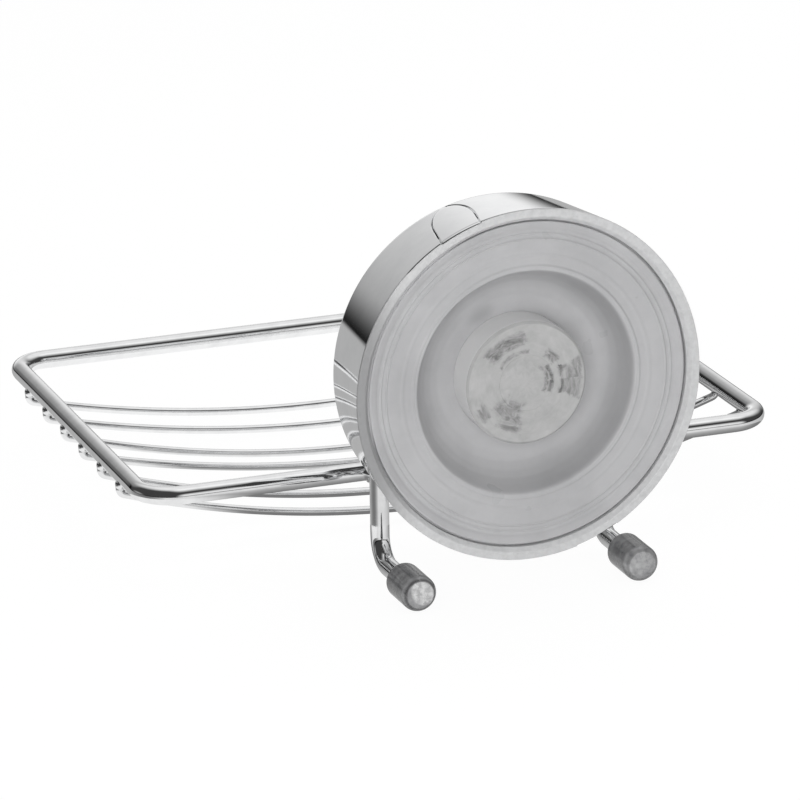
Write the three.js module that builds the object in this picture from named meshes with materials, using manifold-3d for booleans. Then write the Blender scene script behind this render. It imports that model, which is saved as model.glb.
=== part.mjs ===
// Suction soap holder: a wire basket carried by a round twist-lock suction housing.
// Millimetres, +Z up. The wall is the plane Y = 0 and the room lies on the -Y side.
// A depth is a distance from the wall into the room, so depth d lies at Y = -d.
// The origin is on the wall, on the axis of the housing.
import * as THREE from 'three';
import { mergeVertices } from 'three/addons/utils/BufferGeometryUtils.js';
import Module from 'manifold-3d';

// Clearances
const seatGap = 0.3; // between a piece and the piece that it rests on
const slideGap = 0.35; // around a shaft that slides or turns
const swingGap = 0.5; // between pieces that pass each other
const overrun = 1; // how far a cutting shape runs past the face that it cuts
const overlap = 0.2; // how far two shapes that become one piece reach into each other

// Housing
const housingRadius = 41; // at the mouth
const housingDepth = 24.2;
const housingTaper = 2.3; // how much narrower it is where the front edge starts to round
const housingWall = 2.4;
const housingEdge = 2;
const mouthLip = 0.4; // thickness of the shell's lip and of the release tab's root
const mouthSetback = 0.6;

// Rim gasket
const gasketWidth = 2.1;
const gasketDepth = 3.7;
const gasketBevel = 0.6;

// Release tab
const tabAngle = 23; // degrees from the top, towards +X
const tabLean = 10; // degrees that the tongue leans back towards the top
const tabWidth = 9.6;
const tabReach = 22.6; // length from the rim to its tip
const tabRound = 12; // length of the rounded end
const tabThickness = 1.2;

// Suction membrane and hub
const lipDepth = 1.6;
const lipThickness = 2.4;
const lipFall = 1.2; // how much deeper the lip is at the dish
const dishShare = 0.5; // radius of the dish, between the hub and the membrane's edge
const dishFloorShare = 0.41; // and of its flat floor
const dishDepth = 10.4; // depth of the dish's floor
const filmThickness = 1.6;
const hubRadius = 14.4;
const hubDepth = 2; // depth of its front face
const hubDisc = 3;
const hubWall = 1.5;
const hubFlange = 1.4;
const hubFlangeThickness = 1.2;
const hubEdge = 0.6;
const socketWall = 2.25;
const clawInner = 8;
const clawOuter = 10.2;
const clawSpare = 1.5; // from the claws to the base plate when the hub is drawn in
const clawCount = 3;
const clawAngle = 44; // degrees of arc of one claw
const clawPhase = 60; // degrees from +X, towards +Z

// Lock
const lockTravel = 4.5; // how far a turn of the knob draws the hub in
const lockTurn = 90; // degrees
const stemRadius = 4;
const pinRadius = 1.2;
const springWire = 1.2;
const springTurns = 5;

// Inner base
const baseWall = 2.4;
const basePlate = 2.5;
const guideWall = 3.1;
const guideInward = 3.6; // the guide tube's length on the wall side of the plate
const guideOutward = 3.8; // and on the room side
const keyReach = 6.7; // length of the ribs that run between the claws
const neckRadius = 15;
const neckBore = 12;
const neckLength = 13.3;
const clipGroove = 1; // depth of the groove for the retaining clip
const clipThickness = 1;
const clipReach = 2.5; // how far the clip stands out of the neck
const clipMouth = 60; // degrees of the clip's opening

// Screws
const screwCircle = 20;
const screwCount = 3;
const screwShank = 1.45;
const screwHead = 2.7;
const screwHeadDepth = 1.9;
const screwSlot = 0.7;
const screwBite = 4.6; // how far a screw reaches into the cover

// Wire cover
const coverRim = 2.7; // wall of the cover outside the channel for the hoop
const coverDepth = 6;
const coverEdge = 1.5;
const coverFlat = 19; // drop of the flat bottom edge below the axis

// Knob
const knobRadius = 23;
const knobTaper = 1;
const knobDepth = 13.6;
const knobEdge = 1.5;
const knobWall = 3;
const knobFlange = 1.3;
const knobShoulder = 1.6; // how far the shoulder stands into the bore
const knobShoulderDepth = 7.6; // from the knob's back to the shoulder's seat
const knobShoulderLength = 2;
const fluteCount = 12;
const fluteRadius = 4;
const fluteCut = 0.9;
const capThickness = 2.6;
const capCrown = 0.9;

// Cam
const camBore = 5;
const camTubeInner = 9.2;
const camTubeWall = 2;
const camFlange = 2;
const camStandoff = 1.7; // from the guide tube's end to the cam
const camLow = 4.95; // thickness of the cam below the pin when unlocked
const camLand = 25; // degrees of flat before and after the ramp
const camFall = 10; // degrees of the drop behind the top flat
const pinLift = 0.45; // height of the pin over the ramp

// Wires
const frameWire = 4.4; // diameter of the basket's ring, legs and arms
const basketWire = 1.9;

// Basket
const wallRailDepth = 45.2;
const basketDepth = 110.3; // from the wall-side rail to the room-side rail
const wallRailLength = 152;
const roomRailLength = 148;
const cornerRadius = 8;
const wireMargin = 18; // from a rail to the first thin wire
const wireSag = 11.2;
const sagShares = [1.09, 1.12, 0.88, 1.02, 0.87, 0.86]; // from the wall side to the room side
const curlRadius = 1.5;
const curlOverhang = 1.3; // how far a wire's upturned end stands outside the rail's centre
const curlTip = 0.4; // straight end of the curl

// Support wire, arms and feet
const legSpacing = 53.6; // also the diameter of the hoop
const footGap = 5.1; // centre of the feet below the housing's lowest point
const legBend = 6;
const armBend = 5;
const armStub = 6.7; // straight upper end of an arm, below the cover
const capRadius = 4.2;
const capLength = 11.5;
const capEnd = 1.9;
const capEdgeRadius = 1.8;

// Facets
const bigSides = 48;
const midSides = 36;
const smallSides = 24;
const thickWireSides = 12;
const thinWireSides = 8;
const bendSteps = 5;
const hoopSteps = 16;
const sagSteps = 16;
const curlSteps = 3;
const edgeSteps = 3;
const springSides = 6;
const springSteps = 12; // per turn
const camStep = 10; // degrees

// Derived sizes
const housingEndRadius = housingRadius - housingTaper;
const railDrop = coverFlat + seatGap + armStub + armBend; // centre of the ring below the axis
const footDrop = housingRadius + footGap;
const halfTurn = 180;
const fullTurn = 360;
const gasketOuter = housingRadius - mouthLip - seatGap;
const gasketInner = gasketOuter - gasketWidth;
const membraneRadius = gasketInner - swingGap;
const dishRadius = hubRadius + (membraneRadius - hubRadius) * dishShare;
const dishFloorRadius = hubRadius + (membraneRadius - hubRadius) * dishFloorShare;
const shellLedge = gasketDepth + seatGap;
const baseDepth = housingDepth - housingWall - seatGap; // room face of the base plate
const plateDepth = baseDepth - basePlate;
const baseRadius = housingEndRadius - housingWall - seatGap;
const coverFace = housingDepth + seatGap + coverDepth; // room face of the cover
const hoopRadius = legSpacing / 2;
const hoopDepth = housingDepth + seatGap + frameWire / 2;
const coverRadius = hoopRadius + frameWire / 2 + seatGap + coverRim;
const knobBack = coverFace + seatGap;
const knobFront = knobBack + knobDepth;
const knobBore = knobRadius - knobWall;
const knobSeat = knobBack + knobShoulderDepth;
const camFlangeDepth = knobSeat + seatGap;
const capBack = camFlangeDepth + camFlange + seatGap;
const camBack = baseDepth + guideOutward + camStandoff;
const pinDepth = camBack + camLow + pinLift + pinRadius;
const stemEnd = capBack - seatGap - lockTravel;
const discBack = hubDepth + hubDisc;
const socketEnd = plateDepth - guideInward - seatGap - lockTravel;
const clawEnd = plateDepth - clawSpare - lockTravel;
const membraneBead = dishDepth + filmThickness;
const roomRailDepth = wallRailDepth + basketDepth;
const railTop = -railDrop + frameWire / 2;
const wireCount = sagShares.length;

const wasm = await Module();
wasm.setup();

// A geometry with its shared vertices merged and its empty triangles left out
function welded(geometry) {
  const bare = new THREE.BufferGeometry();
  bare.setAttribute('position', geometry.getAttribute('position'));
  if (geometry.index) bare.setIndex(geometry.index);
  const merged = mergeVertices(bare, overlap / 100);
  const corners = merged.index.array;
  const kept = [];
  for (let i = 0; i < corners.length; i += 3) {
    const [a, b, c] = [corners[i], corners[i + 1], corners[i + 2]];
    if (a !== b && b !== c && c !== a) kept.push(a, b, c);
  }
  merged.setIndex(kept);
  return merged;
}

// A geometry as a solid that can be joined and cut
function solid(geometry) {
  const clean = welded(geometry);
  return new wasm.Manifold(new wasm.Mesh({
    numProp: 3,
    vertProperties: new Float32Array(clean.getAttribute('position').array),
    triVerts: new Uint32Array(clean.index.array),
  }));
}

// A solid as a geometry again
function surface(body) {
  const mesh = body.getMesh();
  const geometry = new THREE.BufferGeometry();
  geometry.setAttribute('position', new THREE.BufferAttribute(mesh.vertProperties, 3));
  geometry.setIndex(new THREE.BufferAttribute(mesh.triVerts, 1));
  return geometry;
}

const radians = THREE.MathUtils.degToRad;

// A ring or disc round the Y axis from a profile of [radius, depth] points.
// A disc's profile starts and ends on the axis, and a ring's is closed here.
// The profile is turned so that its faces point out.
function turned(profile, sides) {
  const points = profile.map(([radius, depth]) => new THREE.Vector2(radius, -depth));
  if (THREE.ShapeUtils.area(points) < 0) points.reverse();
  if (points[0].x > 0) points.push(points[0].clone());
  return welded(new THREE.LatheGeometry(points, sides));
}

// Points of a rounded corner in a profile, from one angle to another in degrees
function corner(radius, depth, round, from, to) {
  return Array.from({ length: edgeSteps + 1 }, (_, i) => {
    const angle = radians(from + (to - from) * i / edgeSteps);
    return [radius + round * Math.cos(angle), depth + round * Math.sin(angle)];
  });
}

// A rod along Y between two depths
function rod(radius, from, to, sides) {
  const geometry = new THREE.CylinderGeometry(radius, radius, to - from, sides);
  return geometry.translate(0, -(from + to) / 2, 0);
}

// A box between two corners given as [x, depth, z]
function block(low, high) {
  const size = high.map((value, i) => value - low[i]);
  const middle = high.map((value, i) => (value + low[i]) / 2);
  return new THREE.BoxGeometry(...size).translate(middle[0], -middle[1], middle[2]);
}

// A curved wall round the Y axis: an arc in the XZ plane between two radii and two depths
function arcWall(inner, outer, from, to, middleAngle, arc) {
  const shape = new THREE.Shape();
  const start = radians(middleAngle - arc / 2);
  const end = radians(middleAngle + arc / 2);
  shape.absarc(0, 0, outer, start, end, false);
  shape.absarc(0, 0, inner, end, start, true);
  const curveSegments = Math.ceil(midSides * arc / fullTurn / 2);
  const wall = new THREE.ExtrudeGeometry(shape, {
    depth: to - from, bevelEnabled: false, curveSegments,
  });
  return welded(wall.rotateX(Math.PI / 2).translate(0, -from, 0));
}

// A path through stations, each with its own direction, used exactly as they are given
class Stations extends THREE.Curve {
  constructor(points, closed = false) {
    super();
    this.points = points;
    this.closed = closed;
    const last = points.length - 1;
    this.directions = points.map((point, i) => {
      const back = i > 0 ? points[i - 1] : closed ? points[last] : point;
      const ahead = i < last ? points[i + 1] : closed ? points[0] : point;
      const arriving = point.clone().sub(back).normalize();
      const leaving = ahead.clone().sub(point).normalize();
      return arriving.add(leaving).normalize();
    });
  }

  get steps() {
    return this.closed ? this.points.length : this.points.length - 1;
  }

  station(t) {
    return Math.round(t * this.steps) % this.points.length;
  }

  getPoint(t, target = new THREE.Vector3()) {
    return target.copy(this.points[this.station(t)]);
  }

  getTangent(t, target = new THREE.Vector3()) {
    return target.copy(this.directions[this.station(t)]);
  }

  getUtoTmapping(u) {
    return u;
  }
}

// A round wire along stations with open ends closed by flat faces
function wire(points, radius, sides) {
  const path = new Stations(points);
  const section = new THREE.Shape(Array.from({ length: sides }, (_, i) => {
    const angle = 2 * Math.PI * i / sides;
    return new THREE.Vector2(radius * Math.cos(angle), radius * Math.sin(angle));
  }));
  const geometry = new THREE.ExtrudeGeometry(section, {
    steps: path.steps, extrudePath: path, bevelEnabled: false,
  });
  return welded(geometry);
}

// Stations on a bend: its corner, the unit directions that arrive and leave, and its radius
function bend(vertex, arriving, leaving, radius) {
  const sweep = arriving.angleTo(leaving);
  const start = vertex.clone().addScaledVector(arriving, -radius * Math.tan(sweep / 2));
  const across = leaving.clone().addScaledVector(arriving, -Math.cos(sweep)).normalize();
  return Array.from({ length: bendSteps + 1 }, (_, i) => {
    const angle = sweep * i / bendSteps;
    return start.clone()
      .addScaledVector(arriving, radius * Math.sin(angle))
      .addScaledVector(across, radius * (1 - Math.cos(angle)));
  });
}

const at = (x, depth, z) => new THREE.Vector3(x, -depth, z);
const towardsRoom = new THREE.Vector3(0, -1, 0);
const up = new THREE.Vector3(0, 0, 1);
const down = new THREE.Vector3(0, 0, -1);

// Materials
const finish = (color, metalness, roughness, opacity = 1) => new THREE.MeshStandardMaterial({
  color, metalness, roughness, opacity, transparent: opacity < 1,
});
const chrome = finish('#d9dbdd', 1, 0.06);
const frosted = finish('#dcdddd', 0, 0.35);
const milky = finish('#b4b5b7', 0, 0.3, 0.85);
const clear = finish('#d2d4d5', 0, 0.12, 0.55);
const smoky = finish('#6f7173', 0, 0.25, 0.8);
const whitePlastic = finish('#e9e9e6', 0, 0.45);
const steel = finish('#b9bbbd', 1, 0.3);

const holder = new THREE.Group();

// Adds one named piece to a group
function piece(group, name, geometry, material) {
  const mesh = new THREE.Mesh(geometry, material);
  mesh.name = name;
  group.add(mesh);
  return mesh;
}

// Radius of the shell's outer face at a depth: straight at the mouth, then tapered
function shellRadius(depth) {
  const share = (depth - shellLedge) / (housingDepth - housingEdge - shellLedge);
  return housingRadius + (housingEndRadius - housingRadius) * Math.max(0, share);
}

// A tongue-shaped prism that runs out through the housing's wall at the tab's place.
// It is wider than the tab by a margin all round and starts at a depth.
function tongue(margin, from) {
  const half = tabWidth / 2 + margin;
  const straight = tabReach - tabRound;
  const shape = new THREE.Shape();
  shape.moveTo(-half, -from);
  shape.lineTo(-half, -straight);
  shape.absellipse(0, -straight, half, tabRound + margin, Math.PI, 2 * Math.PI, false);
  shape.lineTo(half, -from);
  const prism = new THREE.ExtrudeGeometry(shape, {
    depth: housingRadius, bevelEnabled: false, curveSegments: 2 * bendSteps,
  });
  return prism.rotateZ(-radians(tabLean))
    .translate(0, 0, housingRadius / 2)
    .rotateY(radians(tabAngle));
}

// Places of the screws round the axis, as [x, z]
function screwPlaces() {
  return Array.from({ length: screwCount }, (_, i) => {
    const angle = Math.PI / 2 + 2 * Math.PI * i / screwCount;
    return [screwCircle * Math.cos(angle), screwCircle * Math.sin(angle)];
  });
}

// Screw holes between two depths, as one solid to cut with
function screwHoles(radius, from, to) {
  return screwPlaces()
    .map(([x, z]) => solid(rod(radius, from, to, thickWireSides).translate(x, 0, z)))
    .reduce((all, hole) => all.add(hole));
}

// Chrome shell: a slightly tapered cup with a rounded front edge, a thin lip at its mouth,
// a hole for the neck and a shallow bed for the release tab
function housingShell() {
  const innerAt = (depth) => shellRadius(depth) - housingWall;
  const inside = housingDepth - housingWall;
  const body = solid(turned([
    [housingRadius - mouthLip, mouthSetback],
    [housingRadius, mouthSetback],
    [housingRadius, shellLedge],
    ...corner(housingEndRadius - housingEdge, housingDepth - housingEdge, housingEdge, 0, 90),
    [neckRadius + seatGap, housingDepth],
    [neckRadius + seatGap, inside],
    [innerAt(inside), inside],
    [innerAt(shellLedge), shellLedge],
    [housingRadius - mouthLip, shellLedge],
  ], bigSides));
  const bedDepth = tabThickness + seatGap;
  const bed = solid(turned([
    [shellRadius(shellLedge) - bedDepth, shellLedge],
    [housingRadius + overrun, shellLedge],
    [housingRadius + overrun, housingDepth],
    [shellRadius(housingDepth) - bedDepth, housingDepth],
  ], bigSides));
  const notch = solid(turned([
    [gasketOuter, -overrun],
    [housingRadius + overrun, -overrun],
    [housingRadius + overrun, shellLedge + overlap],
    [gasketOuter, shellLedge + overlap],
  ], bigSides));
  const outline = solid(tongue(seatGap, -2 * overrun));
  return surface(body
    .subtract(bed.add(notch).intersect(outline))
    .subtract(screwHoles(screwShank + seatGap, inside - overrun, housingDepth + overrun)));
}

// Frosted ring in the shell's mouth, with its inner edge bevelled
function rimGasket() {
  return turned([
    [gasketInner, 2 * gasketBevel],
    [gasketInner + gasketBevel, 0],
    [gasketOuter - gasketBevel / 2, 0],
    [gasketOuter, gasketBevel / 2],
    [gasketOuter, gasketDepth],
    [gasketInner, gasketDepth],
  ], bigSides);
}

// Tongue that lies flush in the shell, with a thin root at the rim
function releaseTab() {
  const start = shellLedge + seatGap;
  const end = tabReach + overrun;
  const plate = solid(turned([
    [shellRadius(start) - tabThickness, start],
    [shellRadius(start), start],
    [shellRadius(end), end],
    [shellRadius(end) - tabThickness, end],
  ], bigSides));
  const root = solid(turned([
    [housingRadius - mouthLip, mouthSetback],
    [housingRadius, mouthSetback],
    [housingRadius, shellLedge],
    [shellRadius(start + overlap), start + overlap],
    [housingRadius - mouthLip, start + overlap],
  ], bigSides));
  return surface(plate.add(root).intersect(solid(tongue(0, 0))));
}

// Soft disc: a gently hollow lip, a dished ring and a bead round the hub
function suctionMembrane() {
  const lipFloor = lipDepth + lipFall;
  const lipBack = lipDepth + lipThickness;
  const slope = dishRadius - dishFloorRadius;
  const beadInner = hubRadius + seatGap;
  return turned([
    [membraneRadius, lipBack],
    [membraneRadius, lipDepth + filmThickness / 4],
    [membraneRadius - filmThickness / 4, lipDepth],
    [dishRadius + filmThickness / 4, lipFloor],
    [dishRadius, lipFloor + filmThickness / 4],
    [dishFloorRadius + slope / 4, dishDepth - filmThickness / 2],
    [dishFloorRadius, dishDepth],
    [beadInner, dishDepth],
    [beadInner, membraneBead],
    [dishFloorRadius + slope / 6, membraneBead],
    [dishFloorRadius + slope / 2, membraneBead - filmThickness / 2],
    [dishRadius + filmThickness, lipBack + filmThickness / 4],
    [dishRadius + 2 * filmThickness, lipBack - filmThickness / 4],
  ], midSides);
}

// Clear plug of the membrane: a disc with a rim that grips the bead, a socket and three claws
function suctionHub() {
  const flangeDepth = membraneBead + seatGap;
  const flangeBack = flangeDepth + hubFlangeThickness;
  const socketRadius = stemRadius + seatGap;
  const body = solid(turned([
    [0, hubDepth],
    [hubRadius - hubEdge, hubDepth],
    [hubRadius, hubDepth + hubEdge],
    [hubRadius, flangeDepth],
    [hubRadius + hubFlange, flangeDepth],
    [hubRadius + hubFlange, flangeBack],
    [hubRadius - hubWall, flangeBack],
    [hubRadius - hubWall, discBack],
    [socketRadius + socketWall, discBack],
    [socketRadius + socketWall, socketEnd],
    [socketRadius, socketEnd],
    [socketRadius, discBack],
    [0, discBack],
  ], midSides));
  const claws = Array.from({ length: clawCount }, (_, i) => solid(arcWall(
    clawInner, clawOuter, discBack - overlap, clawEnd,
    clawPhase + fullTurn * i / clawCount, clawAngle,
  )));
  return surface(claws.reduce((all, claw) => all.add(claw), body));
}

// Shaft with a cross hole for the pin
function stemShaft() {
  const shaft = solid(rod(stemRadius, discBack + seatGap, stemEnd, smallSides));
  const hole = solid(crossRod(pinRadius + seatGap / 2, stemRadius + overrun));
  return surface(shaft.subtract(hole));
}

// A rod across the axis at the pin's place
function crossRod(radius, half) {
  const geometry = new THREE.CylinderGeometry(radius, radius, 2 * half, thickWireSides);
  return geometry.rotateZ(Math.PI / 2).translate(0, -pinDepth, 0);
}

// Spring from the hub's disc to the base plate
function returnSpring() {
  const radius = (clawOuter + hubRadius - hubWall) / 2;
  const from = discBack + seatGap + springWire / 2;
  const to = plateDepth - seatGap - springWire / 2;
  const count = springTurns * springSteps;
  const points = Array.from({ length: count + 1 }, (_, i) => {
    const angle = 2 * Math.PI * i / springSteps;
    return at(radius * Math.cos(angle), from + (to - from) * i / count, radius * Math.sin(angle));
  });
  return wire(points, springWire / 2, springSides);
}

// Plastic base: outer wall, plate, guide tube, ribs between the claws, and the neck
function innerBase() {
  const wallStart = lipDepth + lipThickness + seatGap;
  const guideBore = stemRadius + slideGap;
  const neckEnd = baseDepth + neckLength;
  const grooveStart = knobBack + knobFlange + seatGap;
  const grooveEnd = grooveStart + clipThickness + 2 * seatGap;
  const body = solid(turned([
    [baseRadius - baseWall, wallStart],
    [baseRadius, wallStart],
    [baseRadius, baseDepth],
    [neckRadius, baseDepth],
    [neckRadius, grooveStart],
    [neckRadius - clipGroove, grooveStart],
    [neckRadius - clipGroove, grooveEnd],
    [neckRadius, grooveEnd],
    [neckRadius, neckEnd],
    [neckBore, neckEnd],
    [neckBore, baseDepth],
    [guideBore + guideWall, baseDepth],
    [guideBore + guideWall, baseDepth + guideOutward],
    [guideBore, baseDepth + guideOutward],
    [guideBore, plateDepth - guideInward],
    [guideBore + guideWall, plateDepth - guideInward],
    [guideBore + guideWall, plateDepth],
    [baseRadius - baseWall, plateDepth],
  ], midSides));
  const clearance = THREE.MathUtils.radToDeg(swingGap / clawInner);
  const ribArc = fullTurn / clawCount - clawAngle - 2 * clearance;
  const ribs = Array.from({ length: clawCount }, (_, i) => solid(arcWall(
    clawInner, clawOuter, plateDepth - keyReach, plateDepth + overlap,
    clawPhase + fullTurn * (i + 1 / 2) / clawCount, ribArc,
  )));
  return surface(ribs.reduce((all, rib) => all.add(rib), body)
    .subtract(screwHoles(screwShank + seatGap, plateDepth - overrun, baseDepth + overrun)));
}

// Screw with a slotted head that bears on the base plate and bites into the cover
function baseScrew() {
  const under = plateDepth - seatGap;
  const top = under - screwHeadDepth;
  const body = solid(turned([
    [0, top],
    [screwHead - screwSlot, top],
    [screwHead, top + screwSlot],
    [screwHead, under],
    [screwShank, under],
    [screwShank, housingDepth + seatGap + screwBite],
    [0, housingDepth + seatGap + screwBite],
  ], thickWireSides));
  const slot = solid(block(
    [-screwHead - overrun, top - overrun, -screwSlot / 2],
    [screwHead + overrun, top + screwSlot, screwSlot / 2],
  ));
  return surface(body.subtract(slot));
}

// Cover on the room side: a ring with a channel for the hoop and its legs
function wireCover() {
  const back = housingDepth + seatGap;
  const channel = frameWire / 2 + seatGap;
  const floor = hoopDepth + channel;
  const body = solid(turned([
    [neckRadius + seatGap, back],
    [coverRadius, back],
    ...corner(coverRadius - coverEdge, coverFace - coverEdge, coverEdge, 0, 90),
    [neckRadius + seatGap, coverFace],
  ], bigSides));
  const below = solid(block(
    [-2 * coverRadius, 0, -2 * coverRadius],
    [2 * coverRadius, 2 * coverFace, 0],
  ));
  const arch = solid(turned([
    [hoopRadius - channel, back - overrun],
    [hoopRadius + channel, back - overrun],
    [hoopRadius + channel, floor],
    [hoopRadius - channel, floor],
  ], bigSides)).subtract(below);
  const legs = [-1, 1].map((side) => solid(block(
    [side * hoopRadius - channel, back - overrun, -coverRadius],
    [side * hoopRadius + channel, floor, overlap],
  )));
  const bottom = solid(block(
    [-2 * coverRadius, 0, -2 * coverRadius],
    [2 * coverRadius, 2 * coverFace, -coverFlat],
  ));
  const holes = screwHoles(screwShank + seatGap, back - overrun, back + screwBite + seatGap);
  return surface([arch, ...legs, bottom, holes].reduce((rest, cut) => rest.subtract(cut), body));
}

// Knob: a fluted cup with a flange behind the clip and a shoulder for the cam ring
function lockKnob() {
  const shoulderRadius = knobBore - knobShoulder;
  const frontRadius = knobRadius - knobTaper;
  const body = solid(turned([
    [neckRadius + slideGap, knobBack],
    [knobRadius - knobEdge / 2, knobBack],
    [knobRadius, knobBack + knobEdge / 2],
    ...corner(frontRadius - knobEdge, knobFront - knobEdge, knobEdge, 0, 90),
    [knobBore, knobFront],
    [knobBore, knobSeat],
    [shoulderRadius, knobSeat],
    [shoulderRadius, knobSeat - knobShoulderLength],
    [knobBore, knobSeat - knobShoulderLength],
    [knobBore, knobBack + knobFlange],
    [neckRadius + slideGap, knobBack + knobFlange],
  ], bigSides));
  const flutes = Array.from({ length: fluteCount }, (_, i) => {
    const angle = 2 * Math.PI * (i + 1 / 2) / fluteCount;
    const reach = knobRadius + fluteRadius - fluteCut;
    return solid(rod(fluteRadius, knobBack + knobEdge, knobFront - knobEdge, thickWireSides)
      .translate(reach * Math.cos(angle), 0, reach * Math.sin(angle)));
  });
  return surface(flutes.reduce((all, flute) => all.subtract(flute), body));
}

// Cap in the knob's front, slightly domed
function knobCap() {
  const radius = knobBore - seatGap;
  const edge = capBack + capThickness;
  return turned([
    [0, capBack],
    [radius, capBack],
    [radius, edge - knobEdge / 2],
    [radius - knobEdge / 2, edge],
    [2 * radius / 3, edge + capCrown / 2],
    [radius / 3, edge + 5 * capCrown / 6],
    [0, edge + capCrown],
  ], bigSides);
}

// Height of the cam's ramp over its back at an angle in degrees, the same every half turn
function camHeight(angle) {
  const here = THREE.MathUtils.euclideanModulo(angle + camLand, halfTurn) - camLand;
  if (here <= 0) return camLow;
  if (here <= lockTurn) return camLow + lockTravel * here / lockTurn;
  if (here <= lockTurn + camLand) return camLow + lockTravel;
  const fallen = (here - lockTurn - camLand) / camFall;
  return camLow + lockTravel * Math.max(0, 1 - fallen);
}

// Angles where the cam's height is worked out, in degrees
function camAngles() {
  const half = [-camLand];
  for (let angle = 0; angle < lockTurn; angle += camStep) half.push(angle);
  half.push(lockTurn, lockTurn + camLand, lockTurn + camLand + camFall);
  return [...half, ...half.map((angle) => angle + halfTurn)];
}

// The two ramps as one ring whose top rises and falls
function camRamps() {
  const angles = camAngles();
  const outer = camTubeInner + camTubeWall / 2;
  const corners = angles.flatMap((angle) => {
    const turn = radians(angle);
    const top = camBack + camHeight(angle);
    return [[camBore, camBack], [outer, camBack], [outer, top], [camBore, top]]
      .flatMap(([radius, depth]) => [radius * Math.cos(turn), -depth, radius * Math.sin(turn)]);
  });
  const index = [];
  angles.forEach((_, i) => {
    const next = (i + 1) % angles.length;
    for (let k = 0; k < 4; k += 1) {
      const a = 4 * i + k;
      const b = 4 * i + (k + 1) % 4;
      const c = 4 * next + (k + 1) % 4;
      const d = 4 * next + k;
      index.push(a, c, b, a, d, c);
    }
  });
  const geometry = new THREE.BufferGeometry();
  geometry.setAttribute('position', new THREE.Float32BufferAttribute(corners, 3));
  geometry.setIndex(index);
  return geometry;
}

// Cam ring: a tube with a flange that sits in the knob, and the two ramps inside it
function camRing() {
  const outer = camTubeInner + camTubeWall;
  const tube = solid(turned([
    [camTubeInner, camBack],
    [outer, camBack],
    [outer, camFlangeDepth],
    [knobBore - seatGap, camFlangeDepth],
    [knobBore - seatGap, camFlangeDepth + camFlange],
    [camTubeInner, camFlangeDepth + camFlange],
  ], midSides));
  return surface(tube.add(solid(camRamps())));
}

// Snap ring with a gap, in the neck's groove
function retainingClip() {
  const from = knobBack + knobFlange + 2 * seatGap;
  const inner = neckRadius - clipGroove + seatGap;
  return arcWall(inner, inner + clipReach + clipGroove, from, from + clipThickness, -90,
    fullTurn - clipMouth);
}

// The basket's ring: a closed wire with four round corners, a little narrower at the room side
function basketFrame() {
  const corners = [
    [roomRailLength / 2, roomRailDepth], [wallRailLength / 2, wallRailDepth],
    [-wallRailLength / 2, wallRailDepth], [-roomRailLength / 2, roomRailDepth],
  ].map(([x, depth]) => at(x, depth, -railDrop));
  const points = corners.flatMap((point, i) => {
    const arriving = point.clone().sub(corners.at(i - 1)).normalize();
    const leaving = corners[(i + 1) % corners.length].clone().sub(point).normalize();
    return bend(point, arriving, leaving, cornerRadius);
  });
  const path = new Stations(points, true);
  return welded(new THREE.TubeGeometry(path, path.steps, frameWire / 2, thickWireSides, true));
}

// Half of the ring's width at a depth
function railHalf(depth) {
  const share = (depth - wallRailDepth) / basketDepth;
  return (wallRailLength + (roomRailLength - wallRailLength) * share) / 2;
}

// A thin wire: it hangs in a shallow arc and its ends turn up under the side rails
function basketWirePath(depth, sag) {
  const tip = railTop - frameWire - seatGap;
  const slope = Math.atan(2 * sag / railHalf(depth));
  const reach = railHalf(depth) + curlOverhang - curlRadius * (1 - Math.sin(slope));
  const level = tip - curlTip - curlRadius * Math.cos(slope);
  const points = [];
  for (let i = 0; i <= sagSteps; i += 1) {
    const share = 2 * i / sagSteps - 1;
    points.push(at(reach * share, depth, level - sag * (1 - share * share)));
  }
  const curl = [];
  for (let i = 1; i <= curlSteps; i += 1) {
    const angle = slope + (Math.PI / 2 - slope) * i / curlSteps;
    curl.push(at(
      reach + curlRadius * (Math.sin(angle) - Math.sin(slope)), depth,
      level + curlRadius * (Math.cos(slope) - Math.cos(angle)),
    ));
  }
  curl.push(at(railHalf(depth) + curlOverhang, depth, tip));
  const mirrored = curl.map((point) => point.clone().setX(-point.x)).reverse();
  return [...mirrored, ...points, ...curl];
}

// One wire for the two feet, the two legs and the hoop round the neck
function supportWirePath() {
  const half = (side) => [
    at(side * hoopRadius, capEnd + seatGap, -footDrop),
    ...bend(at(side * hoopRadius, hoopDepth, -footDrop), towardsRoom, up, legBend),
  ];
  const hoop = Array.from({ length: hoopSteps + 1 }, (_, i) => {
    const angle = Math.PI * i / hoopSteps;
    return at(hoopRadius * Math.cos(angle), hoopDepth, hoopRadius * Math.sin(angle));
  });
  return [...half(1), ...hoop, ...half(-1).reverse()];
}

// An arm beside a leg: down from the cover, then out to the wall-side rail
function basketArmPath(side) {
  const x = side * (hoopRadius - frameWire - seatGap);
  return [
    at(x, hoopDepth, -coverFlat - seatGap),
    ...bend(at(x, hoopDepth, -railDrop), down, towardsRoom, armBend),
    at(x, wallRailDepth - frameWire / 2 - seatGap, -railDrop),
  ];
}

// Vinyl cap with a rounded end that leans on the wall
function footCap() {
  const bore = frameWire / 2 + seatGap;
  const mouth = (capRadius - bore) / 4;
  return turned([
    [0, 0],
    ...corner(capRadius - capEdgeRadius, capEdgeRadius, capEdgeRadius, -90, 0),
    [capRadius, capLength - mouth],
    [capRadius - mouth, capLength],
    [bore, capLength],
    [bore, capEnd],
    [0, capEnd],
  ], smallSides);
}

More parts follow.
